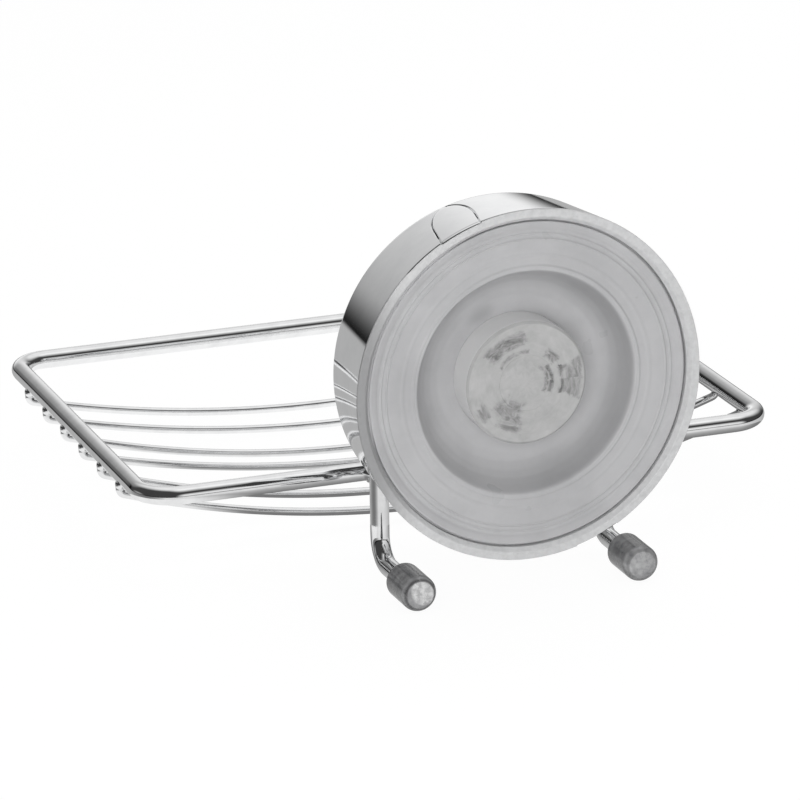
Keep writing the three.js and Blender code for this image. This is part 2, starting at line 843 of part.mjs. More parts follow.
// Housing, with everything that stays still on it
const housing = new THREE.Group();
holder.add(housing);
piece(housing, 'housing_shell', housingShell(), chrome);
piece(housing, 'rim_gasket', rimGasket(), frosted);
piece(housing, 'suction_membrane', suctionMembrane(), milky);
piece(housing, 'inner_base', innerBase(), whitePlastic);
piece(housing, 'wire_cover', wireCover(), chrome);
piece(housing, 'retaining_clip', retainingClip(), steel);
piece(housing, 'return_spring', returnSpring(), steel);
screwPlaces().forEach(([x, z], i) => {
  piece(housing, `base_screw_${i + 1}`, baseScrew(), steel).position.set(x, 0, z);
});

// Wire frame
const frame = new THREE.Group();
holder.add(frame);
piece(frame, 'basket_frame', basketFrame(), chrome);
piece(frame, 'support_wire', wire(supportWirePath(), frameWire / 2, thickWireSides), chrome);
const wirePitch = (basketDepth - 2 * wireMargin) / (wireCount - 1);
sagShares.forEach((share, i) => {
  const depth = wallRailDepth + wireMargin + wirePitch * i;
  const path = basketWirePath(depth, wireSag * share);
  piece(frame, `basket_wire_${i + 1}`, wire(path, basketWire / 2, thinWireSides), chrome);
});
[['left', 1], ['right', -1]].forEach(([side, sign]) => {
  const arm = wire(basketArmPath(sign), frameWire / 2, thickWireSides);
  piece(frame, `basket_arm_${side}`, arm, chrome);
  piece(frame, `foot_cap_${side}`, footCap(), smoky).position.set(sign * hoopRadius, 0, -footDrop);
});

// Hub, shaft and pin, which slide along the axis
const stem = new THREE.Group();
holder.add(stem);
piece(stem, 'suction_hub', suctionHub(), clear);
piece(stem, 'stem_shaft', stemShaft(), whitePlastic);
piece(stem, 'drive_pin', crossRod(pinRadius, camTubeInner - slideGap), steel);

// Knob, which turns about the axis
const knob = new THREE.Group();
holder.add(knob);
piece(knob, 'lock_knob', lockKnob(), chrome);
piece(knob, 'cam_ring', camRing(), whitePlastic);
piece(knob, 'knob_cap', knobCap(), chrome);

// Release tab, which lifts about its root at the rim
piece(holder, 'release_tab', releaseTab(), chrome);

export default holder;
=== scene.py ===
import bmesh
import bpy
import math
import numpy as np
from mathutils import Matrix, Vector


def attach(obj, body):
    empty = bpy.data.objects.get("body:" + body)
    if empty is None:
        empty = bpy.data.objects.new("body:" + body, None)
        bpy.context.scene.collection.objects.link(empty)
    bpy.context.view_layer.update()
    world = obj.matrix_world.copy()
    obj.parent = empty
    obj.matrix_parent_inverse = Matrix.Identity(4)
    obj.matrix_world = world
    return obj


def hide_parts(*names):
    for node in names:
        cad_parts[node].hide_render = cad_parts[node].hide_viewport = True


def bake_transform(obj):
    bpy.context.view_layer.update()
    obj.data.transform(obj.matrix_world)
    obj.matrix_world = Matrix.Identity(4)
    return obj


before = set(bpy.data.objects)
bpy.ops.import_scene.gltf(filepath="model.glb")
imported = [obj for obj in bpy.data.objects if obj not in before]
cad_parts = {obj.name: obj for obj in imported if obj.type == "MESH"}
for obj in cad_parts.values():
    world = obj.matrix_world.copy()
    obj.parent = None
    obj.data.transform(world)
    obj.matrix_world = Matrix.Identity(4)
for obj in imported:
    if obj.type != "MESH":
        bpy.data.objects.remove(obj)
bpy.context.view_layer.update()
mm = 0.001  # the shapes below are worked out in millimetres and stored in metres
print("frame loaded:", len(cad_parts), "nodes")

# The wall is the plane y = 0 and the room is on the -y side, so a depth d lies at y = -d.
# x grows towards the left of the picture, z is up, and the housing's axis runs through the origin.


# The named values of a dictionary, in that order
def pick(values, names):
    return [values[name] for name in names.split()]


# A smooth step from 0 to 1 between two values: 3 share^2 - 2 share^3
def smooth(value, low, high):
    share = np.clip((value - low) / (high - low), 0, 1)
    return share * share * (3 - 2 * share)


# 1 between two values and 0 outside them, with soft ends
def band(value, low, high, soft):
    return smooth(value, low - soft, low + soft) * (1 - smooth(value, high - soft, high + soft))


# A bell: e to the power of -((value - middle) / width)^2
def bell(value, middle, width):
    return np.exp(-((value - middle) / width) ** 2)


def unit(rows):
    return rows / np.maximum(np.linalg.norm(rows, axis=-1, keepdims=True), 1e-9)


def circle(count):
    return np.linspace(0, 2 * np.pi, count, endpoint=False)


# An angle from the top, turned into degrees between -180 and 180
def degreesFromTop(angle):
    return (np.degrees(angle) + 180) % 360 - 180


# Points at (x, -depth, z), where each of the three is one number or one for every point
def spots(x, depth, z):
    return np.stack(np.broadcast_arrays(x, np.negative(depth), z), -1)


# Points round the y axis: x = r sin(angle), y = -depth, z = r cos(angle)
def aroundAxis(radius, depth, angle):
    return spots(radius * np.sin(angle), depth, radius * np.cos(angle)).reshape(-1, 3)


# Rows, then the same rows backwards times sign, with the last row only once
def mirrored(half, sign):
    return np.concatenate([half, sign * half[::-1][1:]])


# Quads between the points of a grid: row * columns + column, with wrap where the grid closes
def gridFaces(rows, columns, wrapRows=False, wrapColumns=False):
    i = np.arange(rows if wrapRows else rows - 1)[:, None]
    j = np.arange(columns if wrapColumns else columns - 1)[None, :]
    nextI, nextJ = (i + 1) % rows, (j + 1) % columns
    corners = [i * columns + j, nextI * columns + j, nextI * columns + nextJ, i * columns + nextJ]
    return np.stack(corners, -1).reshape(-1, 4)


# A fan from one middle point to a closed ring of points
def fanFaces(ring, middle, flip=False):
    fan = np.stack([np.roll(ring, -1), ring, np.full_like(ring, middle)], -1)
    return fan[:, ::-1] if flip else fan


# Joins several (points, faceLists) shapes into one
def joined(*shapes):
    counts = np.cumsum([0] + [len(points) for points, _ in shapes])
    faces = [faceList + count for (_, lists), count in zip(shapes, counts) for faceList in lists]
    return np.concatenate([points for points, _ in shapes]), faces


# Rounds the corners of a profile of [radius, depth, round] rows.
# Each corner gets an arc tangent to both of its sides: centre = corner + bisector * round / cos(turn / 2),
# and one more point a hair before and after it, which keeps the flats flat under smooth shading.
def rounded(corners, closed=True, steps=5, hold=0.12):
    rows = np.asarray(corners, float)
    spot, size = rows[:, :2], rows[:, 2]
    before, after = np.roll(spot, 1, 0), np.roll(spot, -1, 0)
    if not closed:
        before[0], after[-1] = spot[0] * 2 - spot[1], spot[-1] * 2 - spot[-2]
    arrive, leave = spot - before, after - spot
    shorter = np.minimum(np.linalg.norm(arrive, axis=1), np.linalg.norm(leave, axis=1))
    arrive, leave = unit(arrive), unit(leave)
    turn = np.maximum(np.arccos(np.clip((arrive * leave).sum(1), -1, 1)), 1e-4)
    radius = np.minimum(size * np.tan(turn / 2), 0.45 * shorter) / np.tan(turn / 2)
    inward, ahead = unit(leave - arrive), unit(arrive + leave)
    centre = spot + inward * (radius / np.cos(turn / 2))[:, None]
    swing = np.linspace(-0.5, 0.5, steps + 1)[None, :, None] * turn[:, None, None]
    arc = centre[:, None] + radius[:, None, None] * (ahead[:, None] * np.sin(swing) - inward[:, None] * np.cos(swing))
    spare = np.minimum(hold, 0.04 * shorter)[:, None]
    first, last = arc[:, 0] - arrive * spare, arc[:, -1] + leave * spare
    path = np.concatenate([first[:, None], arc, last[:, None]], 1).reshape(-1, 2)
    if not closed:
        path = np.concatenate([spot[:1], path[steps + 3:-(steps + 3)], spot[-1:]])
    gap = np.linalg.norm(np.diff(path, axis=0), axis=1)
    return path[np.concatenate([[True], gap > 1e-4])]


# Area of a [radius, depth] profile with its sign, closed through its ends
def profileArea(profile):
    radius, depth = profile[:, 0], profile[:, 1]
    return 0.5 * (radius * np.roll(depth, -1) - np.roll(radius, -1) * depth).sum()


# Turns a profile round the y axis. shift(angle, radius, depth) may move the grid's radius and depth,
# and a profile that starts or ends on the axis gets a pole there.
def turned(profile, angles=None, shift=None):
    profile = np.asarray(profile, float)
    if profileArea(profile) < 0:
        profile = profile[::-1]
    angles = circle(192) if angles is None else angles
    poleFirst, poleLast = (profile[row, 0] < 1e-6 for row in (0, -1))
    body = profile[int(poleFirst):len(profile) - int(poleLast)]
    rows, columns = len(body), len(angles)
    angle, radius, depth = np.broadcast_arrays(angles[None, :], body[:, :1], body[:, 1:])
    if shift is not None:
        radius, depth = shift(angle, radius, depth)
    points = aroundAxis(radius, depth, angle)
    faces = [gridFaces(rows, columns, not (poleFirst or poleLast), True)]
    for needed, row, start in ((poleFirst, 0, 0), (poleLast, -1, (rows - 1) * columns)):
        if needed:
            points = np.concatenate([points, [[0, -profile[row, 1], 0]]])
            faces.append(fanFaces(np.arange(columns) + start, len(points) - 1, flip=row == 0))
    return points, faces


# Stations of a wire with rounded ends: near each end the radius falls by edge * (1 - cos) over edge * sin
def endStations(points, radius, edge, steps=4):
    swing = np.linspace(0, np.pi / 2, steps + 1)
    back, narrower = (edge * (1 - np.sin(swing)))[:, None], radius - edge * (1 - np.cos(swing))
    opening = points[0] - unit(points[0] - points[1]) * back[::-1]
    closing = points[-1] - unit(points[-1] - points[-2]) * back
    return (np.concatenate([opening, points[1:-1], closing]),
            np.concatenate([narrower[::-1], np.full(len(points) - 2, radius), narrower]))


# A round tube: point = station + radius * (side * cos + (tangent x side) * sin).
# side is one direction for a flat path, or one for each station.
def tube(points, radii, side, sides=24, closed=False):
    radii = np.broadcast_to(np.asarray(radii, float), len(points))
    if closed:
        tangent = unit(np.roll(points, -1, 0) - np.roll(points, 1, 0))
    else:
        tangent = unit(np.gradient(points, axis=0))
    side = np.broadcast_to(np.asarray(side, float), points.shape)
    side = unit(side - (side * tangent).sum(1)[:, None] * tangent)
    across = np.cross(tangent, side)
    turn = circle(sides)[None, :, None]
    ring = side[:, None] * np.cos(turn) + across[:, None] * np.sin(turn)
    skin = (points[:, None] + radii[:, None, None] * ring).reshape(-1, 3)
    rows = len(points)
    faces = [gridFaces(rows, sides, closed, True)[:, ::-1]]
    if not closed:
        skin = np.concatenate([skin, points[:1], points[-1:]])
        faces.append(fanFaces(np.arange(sides), len(skin) - 2))
        faces.append(fanFaces(np.arange(sides) + (rows - 1) * sides, len(skin) - 1, flip=True))
    return skin, faces


# Points on a bend between two straight runs: start + radius * (arriving * sin + across * (1 - cos))
def bend(corner, arriving, leaving, radius, steps=14):
    sweep = math.acos(float(np.clip(arriving @ leaving, -1, 1)))
    start = corner - arriving * radius * math.tan(sweep / 2)
    across = unit(leaving - arriving * math.cos(sweep))
    angle = np.linspace(0, sweep, steps + 1)[:, None]
    return start + radius * (arriving * np.sin(angle) + across * (1 - np.cos(angle)))


# Adds nodes to one tree. An input is given by its name or number, as a value or as another node's output.
class NodeKit:
    def __init__(self, tree):
        self.tree = tree

    def feed(self, node, key, value):
        if hasattr(value, "links"):
            self.tree.links.new(value, node.inputs[key])
        else:
            node.inputs[key].default_value = value

    def add(self, kind, inputs=None, **settings):
        node = self.tree.nodes.new("ShaderNode" + kind)
        for key, value in settings.items():
            setattr(node, key, value)
        for key, value in (inputs or {}).items():
            self.feed(node, key, value)
        return node

    def calc(self, operation, *values, clamp=False):
        return self.add("Math", dict(enumerate(values)), operation=operation, use_clamp=clamp).outputs[0]

    # The product of several values
    def times(self, first, *others):
        for value in others:
            first = self.calc("MULTIPLY", first, value)
        return first

    # 1 - value
    def inverse(self, value):
        return self.calc("SUBTRACT", 1.0, value)

    # A smooth run from one value to another while the input goes from low to high
    def ramp(self, value, low, high, first=0.0, last=1.0, run="SMOOTHSTEP"):
        return self.add("MapRange", {"Value": value, "From Min": low, "From Max": high, "To Min": first,
                                     "To Max": last}, interpolation_type=run).outputs["Result"]

    # The same as a straight line
    def line(self, value, low, high, first=0.0, last=1.0):
        return self.ramp(value, low, high, first, last, "LINEAR")

    def noise(self, place, scale, detail, roughness, key="Vector", **settings):
        return self.add("TexNoise", {key: place, "Scale": scale, "Detail": detail, "Roughness": roughness},
                        **settings).outputs["Fac"]

    def mix(self, share, first, second, kind="RGBA"):
        return self.add("Mix", {"Factor": share, "A": first, "B": second}, data_type=kind).outputs["Result"]

    def parts(self, place):
        return self.add("SeparateXYZ", {"Vector": place}).outputs

    # The length of a vector that is given by two of its parts
    def length(self, first, second):
        flat = self.add("CombineXYZ", {"X": first, "Y": second}).outputs[0]
        return self.add("VectorMath", {0: flat}, operation="LENGTH").outputs["Value"]

    def bump(self, height, strength, distance):
        return self.add("Bump", {"Height": height, "Strength": strength, "Distance": distance}).outputs["Normal"]


# A shader node group. A default of None makes a vector input, a tuple a colour input.
def newGroup(name, inputs, outputs):
    group = bpy.data.node_groups.new(name, "ShaderNodeTree")
    for label, value in inputs.items():
        kind = "Vector" if value is None else "Color" if isinstance(value, tuple) else "Float"
        socket = group.interface.new_socket(label, in_out="INPUT", socket_type="NodeSocket" + kind)
        if value is not None:
            socket.default_value = value
    for label, kind in outputs.items():
        group.interface.new_socket(label, in_out="OUTPUT", socket_type="NodeSocket" + kind)
    return NodeKit(group), group.nodes.new("NodeGroupInput").outputs, group.nodes.new("NodeGroupOutput")


# Wear: a slow mottling for the gloss and a fine grain for the bump, both from noise on the object's own place
def wearGroup():
    kit, start, end = newGroup("wear", {"Place": None, "Mottle Scale": 60.0, "Grain Scale": 1500.0,
                                        "Gloss Low": 0.05, "Gloss High": 0.1},
                               {"Roughness": "Float", "Grain": "Float"})
    mottle = kit.noise(start["Place"], start["Mottle Scale"], 4.0, 0.6)
    kit.feed(end, "Roughness", kit.line(mottle, 0.3, 0.75, start["Gloss Low"], start["Gloss High"]))
    kit.feed(end, "Grain", kit.noise(start["Place"], start["Grain Scale"], 2.0, 0.55))
    return kit.tree


# Speckle: two colours mixed by noise
def speckleGroup():
    kit, start, end = newGroup("speckle", {"Place": None, "Scale": 300.0, "Light": (0.8, 0.8, 0.8, 1),
                                           "Dark": (0.7, 0.7, 0.7, 1)}, {"Color": "Color"})
    share = kit.line(kit.noise(start["Place"], start["Scale"], 5.0, 0.65), 0.4, 0.7)
    kit.feed(end, "Color", kit.mix(share, start["Light"], start["Dark"]))
    return kit.tree


wear, speckle = wearGroup(), speckleGroup()


# A material with a Principled shader whose gloss and bump come from wear and whose colour comes from speckle
def baseMaterial(name, look):
    material = bpy.data.materials.new(name)
    material.use_nodes = True
    kit = NodeKit(material.node_tree)
    shader = kit.tree.nodes["Principled BSDF"]
    for label, key, usual in (("Metallic", "metallic", 0.0), ("IOR", "ior", 1.5), ("Coat Weight", "coat", 0.0),
                              ("Coat Roughness", "coatRoughness", 0.03)):
        shader.inputs[label].default_value = look.get(key, usual)
    place = kit.add("TexCoord").outputs["Object"]
    worn = kit.add("Group", {"Place": place, "Mottle Scale": look["mottle"], "Grain Scale": look["grain"],
                             "Gloss Low": look["gloss"][0], "Gloss High": look["gloss"][1]}, node_tree=wear).outputs
    colour = kit.add("Group", {"Place": place, "Scale": look["speckle"], "Light": (*look["light"], 1),
                               "Dark": (*look["dark"], 1)}, node_tree=speckle).outputs["Color"]
    kit.feed(shader, "Roughness", worn["Roughness"])
    kit.feed(shader, "Normal", kit.bump(worn["Grain"], look["bump"], look["bumpDepth"]))
    kit.feed(shader, "Base Color", colour)
    return material, kit, shader, place, colour


materialLooks = {
    "polishedChrome": dict(slot="chrome_plating", metallic=1.0, light=(0.93, 0.935, 0.94), dark=(0.87, 0.875, 0.885),
                           gloss=(0.03, 0.075), mottle=45.0, grain=900.0, bump=0.05, bumpDepth=0.00001,
                           speckle=120.0),
    "wireChrome": dict(slot="chrome_wire", metallic=1.0, light=(0.93, 0.933, 0.937), dark=(0.84, 0.843, 0.85),
                       gloss=(0.03, 0.075), mottle=90.0, grain=1800.0, bump=0.12, bumpDepth=0.00001,
                       speckle=260.0),
    "frostedVinyl": dict(slot="frosted_vinyl", light=(0.63, 0.633, 0.638), dark=(0.54, 0.543, 0.548),
                         gloss=(0.3, 0.45), mottle=120.0, grain=900.0, bump=0.45, bumpDepth=0.00008,
                         speckle=700.0, coat=0.2, coatRoughness=0.2),
    "milkyVinyl": dict(slot="milky_vinyl", light=(0.482, 0.482, 0.491), dark=(0.415, 0.415, 0.424),
                       gloss=(0.26, 0.36), mottle=40.0, grain=700.0, bump=0.08, bumpDepth=0.00003, speckle=55.0,
                       coat=0.35, coatRoughness=0.12),
    "clearPlastic": dict(slot="clear_plastic", light=(0.6, 0.602, 0.608), dark=(0.5, 0.502, 0.508),
                         gloss=(0.08, 0.2), mottle=80.0, grain=600.0, bump=0.2, bumpDepth=0.00006,
                         speckle=260.0, ior=1.49),
    "clawPlastic": dict(slot="clear_plastic", light=(0.3, 0.3, 0.31), dark=(0.12, 0.12, 0.125), gloss=(0.05, 0.1),
                        mottle=80.0, grain=500.0, bump=0.1, bumpDepth=0.00004, speckle=160.0, ior=1.49),
    "smokyVinyl": dict(slot="smoky_vinyl", light=(0.36, 0.361, 0.366), dark=(0.16, 0.161, 0.166), gloss=(0.1, 0.2),
                       mottle=150.0, grain=900.0, bump=0.12, bumpDepth=0.00003, speckle=380.0, coat=0.3,
                       coatRoughness=0.06),
    "whitePlastic": dict(slot="white_plastic", light=(0.78, 0.78, 0.765), dark=(0.7, 0.7, 0.685), gloss=(0.35, 0.5),
                         mottle=90.0, grain=1000.0, bump=0.15, bumpDepth=0.00004, speckle=240.0),
    "springSteel": dict(slot="spring_steel", metallic=1.0, light=(0.62, 0.625, 0.63), dark=(0.5, 0.505, 0.51),
                        gloss=(0.2, 0.32), mottle=200.0, grain=1600.0, bump=0.15, bumpDepth=0.00002,
                        speckle=500.0),
}
made = {name: baseMaterial(name, look) for name, look in materialLooks.items()}
print("materials made:", len(made))


# Puts points in millimetres and lists of faces into one mesh object at the origin
def makeObject(name, points, faceLists, material):
    mesh = bpy.data.meshes.new(name)
    faces = [face for faceList in faceLists for face in faceList.tolist()]
    mesh.from_pydata((points * mm).tolist(), [], faces)
    mesh.validate()
    mesh.shade_smooth()
    mesh.materials.append(material)
    piece = bpy.data.objects.new(name, mesh)
    bpy.context.scene.collection.objects.link(piece)
    return piece


# Merges the points that meet on a seam and turns every face outwards
def sealPiece(piece):
    mesh = bmesh.new()
    mesh.from_mesh(piece.data)
    bmesh.ops.remove_doubles(mesh, verts=mesh.verts, dist=0.01 * mm)
    bmesh.ops.dissolve_degenerate(mesh, edges=mesh.edges, dist=0.001 * mm)
    bmesh.ops.recalc_face_normals(mesh, faces=mesh.faces)
    mesh.to_mesh(piece.data)
    mesh.free()


# Makes a piece and says where its finish comes from, which body it moves with and which CAD node it stands for
def addPiece(name, shape, finish, body=None, node=None, seal=False):
    piece = makeObject(name, *shape, made[finish][0])
    if seal:
        sealPiece(piece)
    if body:
        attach(piece, body)
    if node:
        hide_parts(node)
    return piece


# The membrane is a thin film. Its colour carries painted shade: a painted shadow where a claw lies close behind it,
# and painted shade on the far wall of its dish, stronger on the -x side. The mould left fine rings on it: noise on the
# distance from the axis.
film = dict(rings=(1100.0, 3.0, 0.6), wet=(260.0, 4.0, 0.6), bump=(0.2, 0.00004), clawShadowAt=(0.0078, 0, 0.0146),
            clawShadowTurn=28, clawShadowSize=(0.0048, 0.02, 0.003), clawShadowFade=(0.35, 1.15), clawShadowShare=0.3, dark=(0.1, 0.1, 0.104),
            wallShadeFrom=(0.0195, 0.0245), wallShadeTo=(0.0255, 0.0262), wallShadeShare=0.3, wallShadeSide=(-0.014, 0.014), nearShadeShare=0.1)


def finishMembrane():
    _, kit, shader, place, colour = made["milkyVinyl"]
    x, _, z = kit.parts(place)
    away = kit.length(x, z)
    height = kit.calc("ADD", kit.noise(away, *film["rings"], key="W", noise_dimensions="1D"),
                      kit.noise(place, *film["wet"]))
    kit.feed(shader, "Normal", kit.bump(height, *film["bump"]))
    patch = kit.add("Mapping", {"Vector": place, "Location": film["clawShadowAt"], "Scale": film["clawShadowSize"],
                                "Rotation": (0, math.radians(film["clawShadowTurn"]), 0)}, vector_type="TEXTURE")
    reach = kit.add("VectorMath", {0: patch.outputs[0]}, operation="LENGTH").outputs["Value"]
    # painted shade on the dish's wall, and a painted shadow where the claw lies behind the film
    wall = kit.times(kit.ramp(away, *film["wallShadeFrom"], 0.0, film["wallShadeShare"]),
                     kit.ramp(away, *film["wallShadeTo"], 1.0, 0.0),
                     kit.ramp(x, *film["wallShadeSide"], 1.0, film["nearShadeShare"]))
    share = kit.calc("ADD", wall, kit.ramp(reach, *film["clawShadowFade"], film["clawShadowShare"], 0.0))
    kit.feed(shader, "Base Color", kit.mix(share, colour, (*film["dark"], 1)))


# Painted shade on the gasket: its colour darkens towards its +x side, the left of the picture
gasketShade = dict(towards=(1.0, 0.0, -0.05), fade=(0.027, 0.0385), share=0.8, dark=(0.24, 0.24, 0.245))


def finishGasket():
    _, kit, shader, place, colour = made["frostedVinyl"]
    across = kit.add("VectorMath", {0: place, 1: gasketShade["towards"]}, operation="DOT_PRODUCT").outputs["Value"]
    # painted shade, darker towards +x
    share = kit.ramp(across, *gasketShade["fade"], 0.0, gasketShade["share"])
    kit.feed(shader, "Base Color", kit.mix(share, colour, (*gasketShade["dark"], 1)))


# A soft patch in the plug: 1 between two radii and within half an angle of its middle, with wavering edges.
# It is the largest of the three distances outside, turned into a mask.
def patchGroup():
    labels = ("Radius", "Angle", "Waver", "Middle", "Half", "Inner", "Outer", "Soft")
    kit, start, end = newGroup("clawPatch", dict.fromkeys(labels, 0.0), {"Mask": "Float"})
    calc = kit.calc
    turn = calc("WRAP", calc("SUBTRACT", start["Angle"], start["Middle"]), math.pi, -math.pi)
    radius = calc("MULTIPLY_ADD", start["Waver"], plug["waver"] * mm, start["Radius"])
    aside = calc("SUBTRACT", calc("ABSOLUTE", turn), start["Half"])
    aside = calc("MULTIPLY", calc("MULTIPLY_ADD", start["Waver"], plug["waverAside"], aside), radius)
    ends = calc("MAXIMUM", calc("SUBTRACT", start["Inner"], radius), calc("SUBTRACT", radius, start["Outer"]))
    outside = calc("DIVIDE", calc("MAXIMUM", ends, aside), start["Soft"])
    kit.feed(end, "Mask", kit.ramp(outside, -1.0, 1.0, 1.0, 0.0))
    return kit.tree


# Where the plug is clear and shows a claw, coloured with painted shade and painted highlights:
# [middle, half angle, inner, outer radius in mm, softness, strength]
clearPatches = [[62, 24, 9.2, 12.1, 0.6, 0.62], [64, 31, 7.0, 7.8, 0.35, 0.45], [180, 21, 8.0, 13.2, 0.5, 0.42],
                [180, 24, 8.2, 9.0, 0.25, 0.75], [176, 30, 5.4, 6.4, 0.35, 0.7], [172, 40, 4.2, 5.0, 0.35, 0.5],
                [138, 12, 7.2, 9.2, 0.5, 0.55], [304, 21, 5.0, 9.5, 1.1, 0.4], [296, 13, 8.0, 11.6, 0.9, 0.5],
                [330, 8, 11.0, 13.0, 0.6, 0.35]]
plug = dict(streakAlong=2.6, streakAcross=620.0, streak=(4.0, 0.65), distortion=0.9, streakFade=(0.38, 0.68), dark=0.06,
            light=0.66, rough=(260.0, 4.0, 0.6), frostFade=(0.3, 0.7), frost=(0.415, 0.485), scratch=0.16, side=0.79,
            paintedLightSideRadius=0.01425, paintedLightSideDepth=-0.0026, alpha=0.97, clear=0.45, waver=2.2, waverAside=0.5,
            bump=(0.5, 0.00008))


# The clear plug: frosted with fine turning marks, but for the patches where the claws come through it. Their streaks
# are noise on (angle, radius), so they run round the axis, and in the patches they are painted dark and light lines:
# painted shade and painted highlights for the claws seen through the plastic. The plug's side wall is painted lighter:
# painted light.
def finishClear():
    _, kit, shader, place, _ = made["clearPlastic"]
    calc, patchTree = kit.calc, patchGroup()
    x, y, z = kit.parts(place)
    radius, angle = kit.length(x, z), calc("ARCTAN2", z, x)
    rough = kit.noise(place, *plug["rough"])
    waver = calc("SUBTRACT", rough, 0.5)
    total = 0.0
    for middle, half, low, high, soft, strength in clearPatches:
        patch = kit.add("Group", {"Radius": radius, "Angle": angle, "Waver": waver, "Middle": math.radians(middle),
                                  "Half": math.radians(half), "Inner": low * mm, "Outer": high * mm,
                                  "Soft": soft * mm}, node_tree=patchTree)
        total = calc("MAXIMUM", total, kit.times(patch.outputs["Mask"], strength))
    spot = kit.add("CombineXYZ", {"X": kit.times(angle, plug["streakAlong"]),
                                  "Y": kit.times(radius, plug["streakAcross"])}).outputs[0]
    texture = kit.add("TexNoise", {"Vector": spot, "Scale": 1.0, "Detail": plug["streak"][0],
                                   "Roughness": plug["streak"][1], "Distortion": plug["distortion"]})
    streaks = texture.outputs["Fac"]
    # painted shade and painted highlights: the dark and light streaks in the patches
    paintedClawStreaks = kit.line(streaks, *plug["streakFade"], plug["dark"], plug["light"])
    marks = kit.times(calc("SUBTRACT", streaks, 0.5), plug["scratch"])
    frost = calc("ADD", kit.line(rough, *plug["frostFade"], *plug["frost"]), marks)
    # painted light: the side wall is lighter where it faces away from the key lamp
    side = kit.times(calc("GREATER_THAN", radius, plug["paintedLightSideRadius"]), calc("LESS_THAN", y, plug["paintedLightSideDepth"]),
                     plug["side"])
    tone = calc("MAXIMUM", kit.mix(total, frost, paintedClawStreaks, "FLOAT"), side)
    colour = kit.add("CombineColor", dict.fromkeys(("Red", "Green", "Blue"), tone)).outputs["Color"]
    kit.feed(shader, "Base Color", colour)
    kit.feed(shader, "Alpha", calc("SUBTRACT", plug["alpha"], kit.times(total, plug["clear"])))
    kit.feed(shader, "Normal", kit.bump(calc("ADD", streaks, rough), *plug["bump"]))


# The claws are tinted where they are seen edge on, which draws the bright and dark lines along their edges
clawEdge = dict(blend=0.45, fade=(0.2, 0.9), alpha=(0.25, 0.9))


def finishClaws():
    _, kit, shader, _, _ = made["clawPlastic"]
    facing = kit.add("LayerWeight", {"Blend": clawEdge["blend"]}).outputs["Facing"]
    kit.feed(shader, "Alpha", kit.line(facing, *clawEdge["fade"], *clawEdge["alpha"]))


finishMembrane()
finishGasket()
finishClear()
finishClaws()
print("finishes made")

# Housing shell: a lathe whose outer face sinks into a bed where the release tab lies. Its depths are close
# together near the mouth and the front edge, and its angles near the tab.
shell = dict(radius=41.0, lipInner=40.34, mouth=0.6, ledge=4.0, taper=2.3, taperEnd=22.2, depth=24.2, inside=21.8,
             innerEnd=36.35, innerTaper=2.6, neckHole=15.3, flatTo=30.0, edge=2.0, edgeAt=(36.688, 22.2), edgeFrom=6.1,
             firstDepths=[0.645, 0.665], depthRuns=[(0.75, 4.8, 0.12), (4.8, 14, 0.6), (14, 22.4, 0.12)],
             fine=(-9.6, 6.2), fineCount=176, restCount=230, bedFrom=3.9, bedFull=4.5, bedEnd=23.5, lipShare=0.08)
tab = dict(angle=23.0, lean=10.0, halfWidth=4.8, straight=10.6, round=12.0, thickness=1.2, bed=1.5,
           seamInner=0.14, seamOuter=0.36, edge=0.3, root=0.15, rootRadius=40.6, underRoot=40.42, rootDepth=4.3,
           curl=(1.2, 1.05), rootDrop=0.3, spineEnd=0.72)
tabTurn, tabLean = math.radians(tab["angle"]), math.radians(tab["lean"])


# Radius of the outer face: a cone from the mouth to the front edge
def shellRadius(depth):
    share = (depth - shell["mouth"]) / (shell["taperEnd"] - shell["mouth"])
    return shell["radius"] - shell["taper"] * share


# Distance outside the tongue's outline, on the leaning tongue: across = x cos(lean) + depth sin(lean) and
# along = depth cos(lean) - x sin(lean). It is |across| - half width beside the straight part, and
# (ellipse value - 1) over the ellipse's slope beyond it.
def tongueDistance(x, depth):
    across = x * math.cos(tabLean) + depth * math.sin(tabLean)
    along = depth * math.cos(tabLean) - x * math.sin(tabLean)
    half, straight, end = pick(tab, "halfWidth straight round")
    beyond = np.maximum(along - straight, 0)
    value = np.hypot(across / half, beyond / end) + 1e-9
    slope = np.hypot(across / half ** 2, beyond / end ** 2) / value + 1e-9
    return np.where(along < straight, np.abs(across) - half, (value - 1) / slope)


